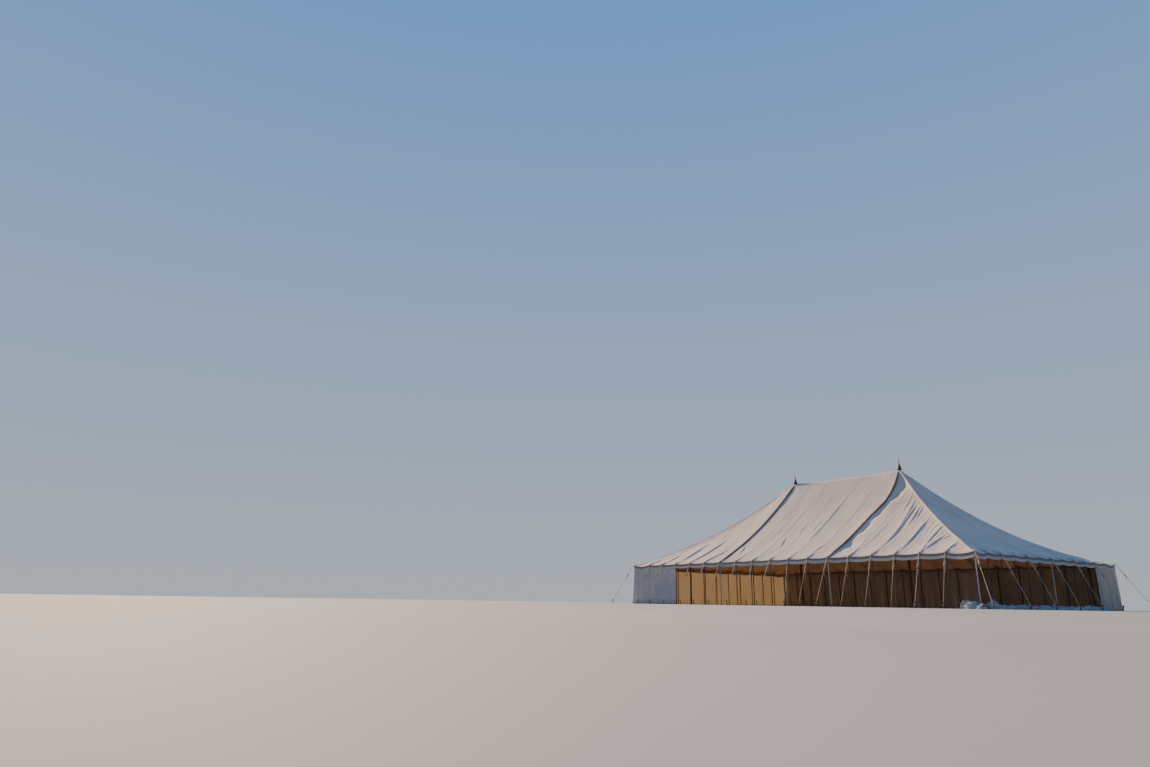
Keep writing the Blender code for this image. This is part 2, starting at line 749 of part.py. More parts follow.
def heap_ring(centre, across, width, height):
    """Cross-section of folded canvas lying on the ground: a low lumpy mound."""
    outline = (
        (-0.50, 0.00), (-0.48, 0.45), (-0.30, 0.85), (-0.05, 1.00),
        (0.22, 0.80), (0.42, 0.50), (0.50, 0.18), (0.46, 0.00),
    )
    return [
        Vector((centre.x + across.x * width * u, centre.y + across.y * width * u, height * v))
        for u, v in outline
    ]


def make_heap(finish):
    stations = []
    for step in range(HEAP_FRONT_STEPS):
        back = HEAP_FRONT_BAYS * (1 - step / HEAP_FRONT_STEPS)
        stations.append((outset(RIGHT_START - back, HEAP_OUT), Vector((0.0, -1.0))))
    for step in range(HEAP_CORNER_STEPS + 1):
        angle = math.pi / 2 * (step / HEAP_CORNER_STEPS - 1)
        away = Vector((math.cos(angle), math.sin(angle)))
        stations.append((eave_plan(RIGHT_START) + away * HEAP_OUT, away))
    for step in range(1, HEAP_SIDE_STEPS + 1):
        on = (END_BAYS - RIGHT_PANEL_BAYS) * step / HEAP_SIDE_STEPS
        stations.append((outset(RIGHT_START + on, HEAP_OUT), Vector((1.0, 0.0))))
    stations[-1][0].y -= CLEARANCE
    stations[-1][0].x -= HEAP_OUT - HEAP_END_OUT
    rings = []
    for index, (centre, away) in enumerate(stations):
        taper = HEAP_END_SHARE if index == 0 else 1.0
        far = index / len(stations)
        lump = HEAP_MEAN_SHARE - HEAP_FALL_SHARE * far + HEAP_LUMP_SHARE * math.sin(2.3 * index + 0.6)
        narrow = 1 - HEAP_NARROW_SHARE * (1 - math.sin(1.7 * index + 2.0))
        rings.append(heap_ring(centre, away, HEAP_WIDTH * narrow, HEAP_HEIGHT * lump * taper))
    add_loft("dropped_wall", [rings], finish)


def main():
    clear_scene()
    canvas = material("roof_canvas", (0.60, 0.54, 0.49), 0.85)
    wall_canvas = material("wall_canvas", (0.46, 0.48, 0.50), 0.9)
    wood = material("pole_wood", (0.16, 0.10, 0.06), 0.7)
    king_wood = material("king_pole_wood", (0.30, 0.19, 0.11), 0.65)
    rope = material("guy_rope", (0.62, 0.50, 0.40), 0.9)
    cap = material("finial_metal", (0.10, 0.11, 0.15), 0.5, 0.3)
    sections = make_roof(canvas)
    tree = seat_tree(sections)
    make_kings(tree, king_wood, cap, rope)
    make_side_poles(tree, wood)
    make_guys(tree, rope)
    make_valances(canvas)
    make_walls(wall_canvas)
    make_heap(wall_canvas)


main()
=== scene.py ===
"""Dresses the pole marquee: laced canvas roof, valance, walls, poles, ropes, stakes and finials.

Metres, +Z up. The origin is on the ground under the middle of the ridge, +X runs along the ridge
and -Y is the open long side, as in the part's own source, whose lines this file repeats.
"""

import logging
import math
from collections.abc import Callable, Iterable, Sequence
from dataclasses import dataclass
from enum import Enum

import bpy
import numpy as np
from mathutils import Matrix, Vector

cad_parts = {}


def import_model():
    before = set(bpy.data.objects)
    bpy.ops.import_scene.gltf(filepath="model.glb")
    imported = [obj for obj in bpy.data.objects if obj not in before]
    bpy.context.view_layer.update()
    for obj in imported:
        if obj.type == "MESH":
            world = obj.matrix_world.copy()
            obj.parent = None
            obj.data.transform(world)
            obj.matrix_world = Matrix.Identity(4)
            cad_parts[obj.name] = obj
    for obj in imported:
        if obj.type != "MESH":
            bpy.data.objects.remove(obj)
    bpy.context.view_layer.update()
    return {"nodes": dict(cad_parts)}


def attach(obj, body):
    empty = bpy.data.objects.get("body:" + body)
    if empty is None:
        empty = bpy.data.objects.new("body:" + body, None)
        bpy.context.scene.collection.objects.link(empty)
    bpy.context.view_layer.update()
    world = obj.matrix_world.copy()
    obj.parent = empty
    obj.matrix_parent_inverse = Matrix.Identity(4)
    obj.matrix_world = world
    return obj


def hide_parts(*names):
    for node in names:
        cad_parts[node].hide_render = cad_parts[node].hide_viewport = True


LOG = logging.getLogger("marquee")
SEED = 20
SECTION_GAP = 0.0003  # between pieces that meet


# Lines and heights of the tent


class Side(Enum):
    """A side of the eave, counter-clockwise seen from above, from the front left corner."""

    FRONT = 0
    RIGHT = 1
    BACK = 2
    LEFT = 3


LONG_SIDES = (Side.FRONT, Side.BACK)
KINGS = ((-1, "left"), (1, "right"))


class Slot(Enum):
    """Material slots of the record."""

    CANVAS = "roof_canvas"
    WALL = "wall_canvas"
    POLE = "pole_wood"
    KING_POLE = "king_pole_wood"
    ROPE = "guy_rope"
    METAL = "finial_metal"


# Each side's first corner in half lengths and widths, its direction, and the way out from it
FIRST = np.array([(-1.0, -1.0), (1.0, -1.0), (1.0, 1.0), (-1.0, 1.0)])
ALONG = np.array([(1.0, 0.0), (0.0, 1.0), (-1.0, 0.0), (0.0, -1.0)])
OUT = np.stack([ALONG[:, 1], -ALONG[:, 0]], axis=1)

# Eave points are counted round the eave from the front left corner, one to each side pole
LONG_BAYS = 18
END_BAYS = 12
SECTION_BAYS = 6
BAYS = np.array([LONG_BAYS, END_BAYS, LONG_BAYS, END_BAYS])
STARTS = np.array([0, 18, 30, 48])
RING = 60
CORNERS = (0, 18, 30, 48)
CORNER_NAMES = ("front_left", "front_right", "back_right", "back_left")
MAIN_POINTS = (6, 12, 24, 36, 42, 54)
RUNS = {
    "front_left": (1, 5),
    "front_middle": (6, 11),
    "front_right": (12, 17),
    "right_front": (19, 23),
    "right_back": (24, 29),
    "back_right": (31, 35),
    "back_middle": (36, 41),
    "back_left": (42, 47),
    "left_back": (49, 53),
    "left_front": (54, 59),
}


def smooth(share: np.ndarray | float) -> np.ndarray:
    """A smooth step from 0 to 1 as share goes from 0 to 1."""
    share = np.clip(share, 0.0, 1.0)
    return share * share * (3 - 2 * share)


def bell(offset: np.ndarray | float, width: float) -> np.ndarray:
    """A rounded hump of height 1 and the given half width."""
    return np.exp(-((np.asarray(offset) / width) ** 2))


def side_of(points: np.ndarray | int) -> np.ndarray:
    """Number of the side that each eave point is on."""
    return np.searchsorted(STARTS, np.mod(points, RING), side="right") - 1


def run_ends(first: int, last: int) -> tuple[float, float]:
    """Eave points where a run's ropes end: at a corner, or half a bay beyond its last poles."""
    start = first - 1 if (first - 1) % RING in CORNERS else first - 0.5
    stop = last + 1 if (last + 1) % RING in CORNERS else last + 0.5
    return start, stop


@dataclass(frozen=True)
class Form:
    """The tent's plan and slopes, as its solids have them."""

    length: float = 18.09
    width: float = 11.99
    eave_height: float = 1.96
    peak_height: float = 6.26
    ridge_sag: float = 0.075
    pulls: tuple[float, ...] = (0.10, 0.14, 0.02, 0.10)
    sag_points: tuple[int, ...] = (0, 6, 12, 18, 24, 30, 36, 42, 48, 54, 60)
    sags: tuple[float, ...] = (0.125, 0.09, 0.09, 0.09, 0.15, 0.175, 0.13, 0.13, 0.14, 0.13, 0.125)
    valance_depth: float = 0.20
    wall_rope_drop: float = 0.14
    canvas: float = 0.008
    curtain: float = 0.005
    wall_splay: float = 0.03
    bay_dip: float = 0.040
    corner_bay_dip: float = 0.080
    pole_to_edge: float = 0.012
    main_radius: float = 0.025
    side_radius: float = 0.022
    bow_insets: tuple[float, ...] = (0.0, 2.6, 3.1, 3.6, 4.1, 4.6, 5.15, 5.65, 5.9)
    bows: tuple[float, ...] = (0.0, 0.0, 0.05, 0.15, 0.28, 0.28, 0.19, 0.07, 0.0)  # of the right lacing
    bow_reach: float = 0.55  # how far beside the lacing the canvas goes with it
    dip_reach: float = 1.1  # how far in from the eave its dips fade

    @property
    def bays(self) -> np.ndarray:
        """Bay length on each of the four sides."""
        long_bay, end_bay = self.length / LONG_BAYS, self.width / END_BAYS
        return np.array([long_bay, end_bay, long_bay, end_bay])

    @property
    def king_x(self) -> float:
        """Distance of each king pole from the middle."""
        return self.length / 6

    def straight(self, points: np.ndarray) -> np.ndarray:
        """Plan of eave points on the straight eave lines, corner pulls left out."""
        points = np.mod(np.asarray(points, float), RING)
        side = side_of(points)
        first = FIRST[side] * (self.length / 2, self.width / 2)
        return first + ALONG[side] * (self.bays[side] * (points - STARTS[side]))[..., None]

    def pull(self, points: np.ndarray) -> np.ndarray:
        """How far the corner guys draw the eave at these points, in plan."""
        points = np.mod(np.asarray(points, float), RING)
        side = side_of(points)
        on, pulls = points - STARTS[side], np.array(self.pulls)
        near = pulls[side] * np.maximum(0.0, 1.0 - on)
        far = pulls[(side + 1) % 4] * np.maximum(0.0, 1.0 + on - BAYS[side])
        return near[..., None] * (OUT[side] - ALONG[side]) + far[..., None] * (OUT[side] + ALONG[side])

    def eave(self, points: np.ndarray) -> np.ndarray:
        """Plan of eave points; whole numbers are side poles."""
        return self.straight(points) + self.pull(points)

    def outset(
        self, points: np.ndarray | float, distance: np.ndarray | float, step: float = 1.0
    ) -> np.ndarray:
        """The eave's plan moved out, square to both bays that meet at each point.

        Args:
            points: eave points.
            distance: how far outwards, in metres.
            step: how far along the neighbours stand, in bays.

        Returns:
            One plan position per point.
        """
        points = np.asarray(points, float)
        here = self.eave(points)
        before, after = here - self.eave(points - step), self.eave(points + step) - here
        square, other = (
            np.stack([bay[..., 1], -bay[..., 0]], -1) / np.linalg.norm(bay, axis=-1, keepdims=True)
            for bay in (before, after)
        )
        mitre = square + other
        mitre /= np.linalg.norm(mitre, axis=-1, keepdims=True)
        reach = np.asarray(distance, float)[..., None] / (mitre * square).sum(-1, keepdims=True)
        return here + mitre * reach

    def dip(self, points: np.ndarray) -> np.ndarray:
        """How far the eave edge hangs below its side poles."""
        points = np.asarray(points, float)
        share, bay = np.mod(points, 1.0), np.mod(np.floor(points), RING)
        beside = np.isin(bay, CORNERS) | np.isin(np.mod(bay + 1, RING), CORNERS)
        return np.where(beside, self.corner_bay_dip, self.bay_dip) * 4 * share * (1 - share)

    def outward(self, point: int) -> np.ndarray:
        """The direction in plan that the guy at this point runs."""
        if point % RING in CORNERS:
            side = CORNERS.index(point % RING)
            return (OUT[side] - ALONG[side]) / math.sqrt(2)
        return OUT[side_of(point)]

    def pole_radius(self, point: int) -> float:
        """Corner poles and poles on a king line are thicker."""
        return self.main_radius if point % RING in CORNERS + MAIN_POINTS else self.side_radius

    def pole_plan(self, point: int) -> np.ndarray:
        """Where a side pole stands."""
        return self.outset(point, -(self.pole_radius(point) + self.pole_to_edge))

    def sag(self, points: np.ndarray) -> np.ndarray:
        """Share of the rise that the slope hangs below a straight line."""
        points = np.mod(points, RING)
        index = np.clip(np.searchsorted(self.sag_points, points, side="right") - 1, 0, len(self.sags) - 2)
        low, sags = np.array(self.sag_points)[index], np.array(self.sags)
        return sags[index] + (sags[index + 1] - sags[index]) * smooth((points - low) / SECTION_BAYS)

    def ridge(self, x: np.ndarray) -> np.ndarray:
        """Height of the ridge between the king poles."""
        return self.peak_height - self.ridge_sag * (1 - np.minimum(1.0, np.abs(x) / self.king_x) ** 4)

    def slope(self, side: Side, u: np.ndarray, t: np.ndarray) -> tuple[np.ndarray, np.ndarray]:
        """The smooth canvas over a side.

        Args:
            side: which side of the eave.
            u: distance along the side from its first corner.
            t: distance in from the straight eave line.

        Returns:
            Positions, and the distance in plan that is left to the ridge or hip above.
        """
        index = side.value
        first = FIRST[index] * (self.length / 2, self.width / 2)
        plan = first + ALONG[index] * u[..., None] - OUT[index] * t[..., None]
        half, reach, king = self.width / 2, self.length / 2 - self.king_x, self.king_x
        if side in LONG_SIDES:
            x = plan[..., 0]
            share, beyond = t / half, np.abs(x) > king
            spread = king + (np.abs(x) - king) / np.maximum(1 - share, 1e-6)
            foot = np.where(beyond, np.sign(x) * np.minimum(spread, self.length / 2), x)
            fan = STARTS[index] + (foot - first[0]) * ALONG[index][0] / self.bays[index]
            top = np.where(beyond, self.peak_height, self.ridge(x))
            above = half * np.where(beyond, (self.length / 2 - np.abs(x)) / reach, 1.0) - t
            bow = np.interp(t, self.bow_insets, self.bows)
            bow = bow * bell(x - king, self.bow_reach) * smooth(above / 0.4)
            plan = plan + bow[..., None] * (1.0, 0.0)
        else:
            y = plan[..., 1]
            share, beyond = t / reach, np.ones(t.shape, bool)
            foot = np.clip(y / np.maximum(1 - share, 1e-6), -half, half)
            fan = STARTS[index] + (foot - first[1]) * ALONG[index][1] / self.bays[index]
            top = np.full(t.shape, self.peak_height)
            above = reach * (half - np.abs(y)) / half - t
        plan = plan + self.pull(fan) * ((1 - share) * beyond)[..., None]
        low = self.eave_height - self.dip(STARTS[index] + u / self.bays[index]) * np.exp(-t / self.dip_reach)
        rise = share - 4 * self.sag(fan) * share * (1 - share)
        return np.concatenate([plan, (low + (top - self.eave_height) * rise)[..., None]], -1), above


FORM = Form()


# Folds of the canvas


@dataclass(frozen=True)
class Fold:
    """One crease up a slope: it swells gently on its left and breaks steeply on its right."""

    side: Side
    start: float  # eave point below its foot, counted from the side's first corner
    low: float  # how far in from the eave its foot is
    end: float  # eave point below its top
    high: float
    height: float
    width: float  # of the steep right flank
    crest: float = 0.5  # share of its length at which it stands highest

    def lift(self, u: np.ndarray, t: np.ndarray, bay: float, hand: float) -> np.ndarray:
        """How far the crease raises the canvas.

        Args:
            u: distance along the side from its first corner.
            t: distance in from the straight eave.
            bay: bay length on this side.
            hand: 1 where the steep flank is towards growing u, -1 on the back, where it is turned over.

        Returns:
            Heights in metres.
        """
        share = (t - self.low) / (self.high - self.low)
        wander = 0.06 * np.sin(3.0 * share + self.start)
        across = hand * (u - bay * (self.start + (self.end - self.start) * share + wander))
        rise = smooth(share / self.crest) * smooth((1 - share) / (1 - self.crest) * 1.4)
        rise *= 0.85 + 0.15 * np.sin(4.0 * share * (self.high - self.low) + 5 * self.start)
        left = np.exp(np.minimum(across, 0) / (3.2 * self.width))
        rest = smooth((across - self.width) / (2.5 * self.width))
        right = 1 - 1.25 * smooth(across / self.width) + 0.25 * rest
        return self.height * rise * np.where(across < 0, left, right)


class Folds:
    """How the canvas is drawn up and let down between its ropes."""

    lacing_height = 0.045
    lacing_step = 0.014  # half the step from the section on the left down to the one on the right
    gutter_slope = 0.36
    wave_height = 0.0014
    hip_height = 0.022  # of the seam along a hip
    hip_width = 0.05
    gutters = {  # width of the fall on the right of each lacing, by distance in from the eave
        -1: (
            (0.0, 0.5, 1.5, 2.3, 3.6, 4.2, 5.0, 5.85, 6.0),
            (0.04, 0.06, 0.09, 0.11, 0.13, 0.16, 0.20, 0.18, 0.14),
        ),
        1: (
            (0.0, 0.3, 0.7, 1.15, 1.5, 2.1, 2.55, 2.9, 3.5, 4.1, 4.6, 5.15, 5.6),
            (0.05, 0.12, 0.26, 0.36, 0.22, 0.25, 0.34, 0.28, 0.32, 0.32, 0.52, 0.76, 0.50),
        ),
    }
    seen = (  # creases of the front slope: foot, its inset, top, its inset, height, width, crest
        (1.03, 0.08, 1.28, 0.80, 0.020, 0.05, 0.4), (2.02, 0.08, 2.26, 1.25, 0.036, 0.05, 0.5),
        (2.55, 0.30, 2.70, 1.60, 0.014, 0.06, 0.5),
        (3.08, 0.08, 3.30, 2.60, 0.052, 0.07, 0.35), (4.06, 0.08, 4.45, 2.70, 0.052, 0.07, 0.35),
        (5.00, 0.10, 5.40, 1.60, 0.036, 0.05, 0.5),
        (6.72, 0.12, 6.26, 1.60, 0.034, 0.07, 0.7), (7.30, 0.40, 7.45, 4.60, 0.012, 0.16, 0.5),
        (7.95, 0.40, 7.90, 5.20, 0.014, 0.10, 0.5),
        (8.71, 0.90, 8.31, 2.30, 0.032, 0.05, 0.5), (8.93, 1.90, 8.81, 3.50, 0.022, 0.05, 0.5),
        (9.95, 0.10, 9.86, 5.60, 0.024, 0.07, 0.5),
        (9.55, 1.80, 9.58, 3.80, 0.012, 0.05, 0.5), (10.92, 0.10, 10.94, 1.60, 0.022, 0.06, 0.3),
        (11.05, 1.20, 11.02, 5.40, 0.010, 0.12, 0.5),
        (12.17, 3.95, 12.24, 4.79, 0.042, 0.035, 0.5), (12.98, 0.06, 12.75, 2.20, 0.020, 0.06, 0.3),
        (13.02, 0.10, 13.30, 3.30, 0.014, 0.08, 0.5), (13.56, 2.60, 13.48, 4.60, 0.026, 0.04, 0.7),
        (13.92, 1.90, 13.82, 4.25, 0.040, 0.05, 0.5), (14.00, 0.05, 14.04, 4.05, 0.050, 0.07, 0.62),
        (14.28, 1.90, 14.28, 3.85, 0.036, 0.05, 0.5),
        (14.44, 2.20, 14.42, 3.70, 0.030, 0.04, 0.6), (15.02, 0.05, 15.10, 2.90, 0.048, 0.07, 0.58),
        (15.24, 1.20, 15.22, 2.85, 0.030, 0.04, 0.6),
        (15.43, 1.25, 15.36, 2.70, 0.028, 0.04, 0.6), (15.70, 1.10, 15.62, 2.45, 0.022, 0.04, 0.6),
        (15.98, 0.05, 15.84, 2.25, 0.044, 0.06, 0.74),
        (16.03, 0.12, 16.38, 1.65, 0.040, 0.05, 0.45), (16.30, 0.60, 16.50, 1.55, 0.020, 0.04, 0.6),
        (16.94, 0.10, 17.10, 0.75, 0.030, 0.05, 0.5),
        (16.72, 0.30, 16.86, 0.95, 0.018, 0.04, 0.5),
    )
    seen_end = (  # creases of the right end's slope
        (6.45, 0.30, 8.20, 1.75, 0.030, 0.06), (7.20, 0.70, 8.50, 2.00, 0.024, 0.05),
        (7.00, 0.10, 8.90, 1.05, 0.034, 0.07),
        (8.60, 0.80, 10.0, 1.85, 0.026, 0.05), (5.60, 0.60, 7.40, 2.60, 0.016, 0.07),
    )

    def __init__(self, form: Form) -> None:
        """Lays out the pulls over the eave points, the long creases and the fine ones along the hips."""
        self.form = form
        rng = np.random.default_rng(SEED)
        self.folds: list[Fold] = []
        for start, low, end, high, height, width, crest in self.seen:
            self.folds.append(Fold(Side.FRONT, start, low, end, high, height, width, crest))
            start, end = LONG_BAYS - start, LONG_BAYS - end
            self.folds.append(Fold(Side.BACK, start, low, end, high, height * 0.8, width, crest))
        for start, low, end, high, height, width in self.seen_end:
            self.folds.append(Fold(Side.RIGHT, start, low, end, high, height, width))
            start, end = END_BAYS - end, END_BAYS - start
            self.folds.append(Fold(Side.LEFT, start, low, end, high, height, width))
        for side in Side:
            self._lay_out(side, rng)
        self.waves = [
            (rng.uniform(0.5, 3.0), rng.uniform(-0.9, 0.9), rng.uniform(0, 6.28), rng.uniform(0.4, 1.0))
            for _ in range(18)
        ]

    def _lay_out(self, side: Side, rng: np.random.Generator) -> None:
        """Adds one side's pulls, long creases and hip creases.

        Args:
            side: the slope.
            rng: where the chance in them comes from.
        """
        bays, long_side = int(BAYS[side.value]), side in LONG_SIDES
        slope = self.form.length / 2 - self.form.king_x
        for point in range(bays + 1):
            end, high = point + rng.uniform(-0.1, 0.1), rng.uniform(0.45, 1.1)
            self.folds.append(Fold(side, point, 0.0, end, high, 0.020, 0.05))
            if not long_side and 0 < point < bays:
                top = 0.92 * (bays / 2 - abs(point - bays / 2)) / (bays / 2) * slope
                end = point + rng.uniform(0.1, 0.6)
                self.folds.append(Fold(side, point + 0.4, 0.1, end, max(0.8, top), 0.022, 0.07))
        for point in np.arange(0.8, bays - 0.7, 0.17):
            if long_side and SECTION_BAYS < point < 2 * SECTION_BAYS:
                continue
            reach = min(point, bays - point) * 0.99 - 0.08
            low = reach - min(reach, rng.uniform(0.4, 1.1))
            height = rng.uniform(0.005, 0.013)
            self.folds.append(Fold(side, point, low, point + 0.05, reach + 0.05, height, 0.03))

    def lacing(self, across: np.ndarray, t: np.ndarray, king: int) -> np.ndarray:
        """Heights beside a laced edge, which is drawn up and falls away to a gutter on its right.

        Args:
            across: distance right of the lacing.
            t: distance in from the straight eave.
            king: -1 for the left lacing, 1 for the right one.

        Returns:
            Heights in metres.
        """
        ragged = 1 + 0.10 * np.sin(5.7 * t + king) + 0.07 * np.sin(11.3 * t + 2 * king)
        width = np.interp(t, *self.gutters[king]) * ragged
        depth = np.clip(self.gutter_slope * width - self.lacing_height, 0.008, 0.27)
        beside = np.minimum(across, 0)
        left = self.lacing_height * (0.5 * np.exp(beside / 0.05) + 0.5 * np.exp(beside / 0.35))
        start = self.lacing_height - 2 * self.lacing_step
        fall = start - (start + depth) * np.clip(across / width, 0, 1) ** 1.1
        back = depth * (1 - np.exp(-np.maximum(across - width, 0) / (0.45 * width + 0.06)))
        return np.where(across < 0, left, fall + back)

    def lift(
        self, side: Side, u: np.ndarray, t: np.ndarray, above: np.ndarray, right_of: bool | None = None
    ) -> np.ndarray:
        """How far the folded canvas stands above the smooth one.

        Args:
            side: the slope.
            u: distance along the side from its first corner.
            t: distance in from the straight eave.
            above: distance left to the ridge or hip.
            right_of: for a point on a king line, whether it belongs to the section on the right.

        Returns:
            Heights in metres.
        """
        form, index = self.form, side.value
        hand = -1.0 if side is Side.BACK else 1.0
        total = np.zeros(u.shape)
        for fold in self.folds:
            if fold.side is side:
                total += fold.lift(u, t, form.bays[index], hand)
        for along, up, phase, size in self.waves:
            total += self.wave_height * size * np.sin(along * 2.2 * u + up * t + phase + index)
        total *= smooth(t / 0.14) * smooth(above / 0.16)
        if side in LONG_SIDES:
            x = (FIRST[index][0] * form.length / 2) + ALONG[index][0] * u
            drawn = smooth((form.width / 2 - t) / 0.45) * (0.10 + 0.90 * smooth(t / 0.7))
            for king in (-1, 1):
                across = x - king * form.king_x
                if right_of is not None:
                    across = np.where(np.abs(across) < 1e-6, 1e-6 if right_of else -1e-6, across)
                total += self.lacing(across, t, king) * drawn * smooth(above / 0.04)
            hips = np.abs(x) > form.king_x + 0.3
        else:
            across = u - form.width / 2
            near_king = smooth((form.length / 2 - form.king_x - t) / 0.6)
            hollow = (0.008 + 0.030 * bell(t - 0.9, 0.8)) * bell(np.abs(across) - 0.09, 0.06)
            total -= hollow * near_king * (0.15 + 0.85 * smooth(t / 0.8))
            hips = np.ones(u.shape, bool)
        seam = self.hip_height * np.exp(-np.abs(above) / self.hip_width) * smooth(t / 0.4)
        return total + np.where(hips, seam, 0.0)

    def canvas(self, side: Side, u: np.ndarray, t: np.ndarray, right_of: bool | None = None) -> np.ndarray:
        """Positions on top of the folded canvas.

        Args:
            side: the slope.
            u: distance along the side from its first corner.
            t: distance in from the straight eave.
            right_of: for a point on a king line, whether it belongs to the section on the right.

        Returns:
            One position per point.
        """
        places, above = self.form.slope(side, u, t)
        places[..., 2] += self.lift(side, u, t, above, right_of)
        return places

    def height_over(self, point: int, inset: float) -> float:
        """Height of the canvas at a small distance in from a whole eave point.

        Args:
            point: the eave point.
            inset: distance in from it, in metres.

        Returns:
            Height above the ground.
        """
        side = int(side_of(point))
        on = (point % RING - STARTS[side]) * self.form.bays[side]
        depth = inset / (math.sqrt(2) if point % RING in CORNERS else 1.0)
        u = on + (depth if point % RING in CORNERS else 0.0)
        return float(self.canvas(Side(side), np.array([u]), np.array([depth]))[0, 2])


FOLDS = Folds(FORM)


# Materials


def linear(code: str, alpha: float = 1.0) -> tuple[float, float, float, float]:
    """An sRGB hex colour as linear RGBA."""
    values = [int(code[i : i + 2], 16) / 255 for i in (1, 3, 5)]
    r, g, b = (v / 12.92 if v <= 0.04045 else ((v + 0.055) / 1.055) ** 2.4 for v in values)
    return r, g, b, alpha


Input = bpy.types.Node | bpy.types.NodeSocket | str | float | tuple[float, ...]


def node(
    material: bpy.types.Material, kind: str, inputs: dict[str | int, Input] | None = None,
    stops: Sequence[tuple[float, str]] = (), **settings: str | float,
) -> bpy.types.Node:
    """Adds a shader node with its settings and links.

    Args:
        material: the material whose tree gets it.
        kind: the node's type, without the ShaderNode prefix.
        inputs: for each input, by name or number, a value, a hex colour, a socket, or a node whose
            first output it gets.
        stops: place and hex colour of each stop of a colour ramp.
        settings: properties of the node.

    Returns:
        The new node.
    """
    tree = material.node_tree
    made = tree.nodes.new("ShaderNode" + kind)
    for name, value in settings.items():
        setattr(made, name, value)
    for index, (place, code) in enumerate(stops):
        element = made.color_ramp.elements[index] if index < 2 else made.color_ramp.elements.new(place)
        element.position, element.color = place, linear(code)
    for name, value in (inputs or {}).items():
        if isinstance(value, bpy.types.Node):
            value = value.outputs[0]
        if isinstance(value, bpy.types.NodeSocket):
            tree.links.new(value, made.inputs[name])
        else:
            made.inputs[name].default_value = linear(value) if isinstance(value, str) else value
    return made


def new_material(name: str) -> bpy.types.Material:
    """A node material without any nodes."""
    material = bpy.data.materials.new(name)
    material.use_nodes = True
    material.node_tree.nodes.clear()
    return material


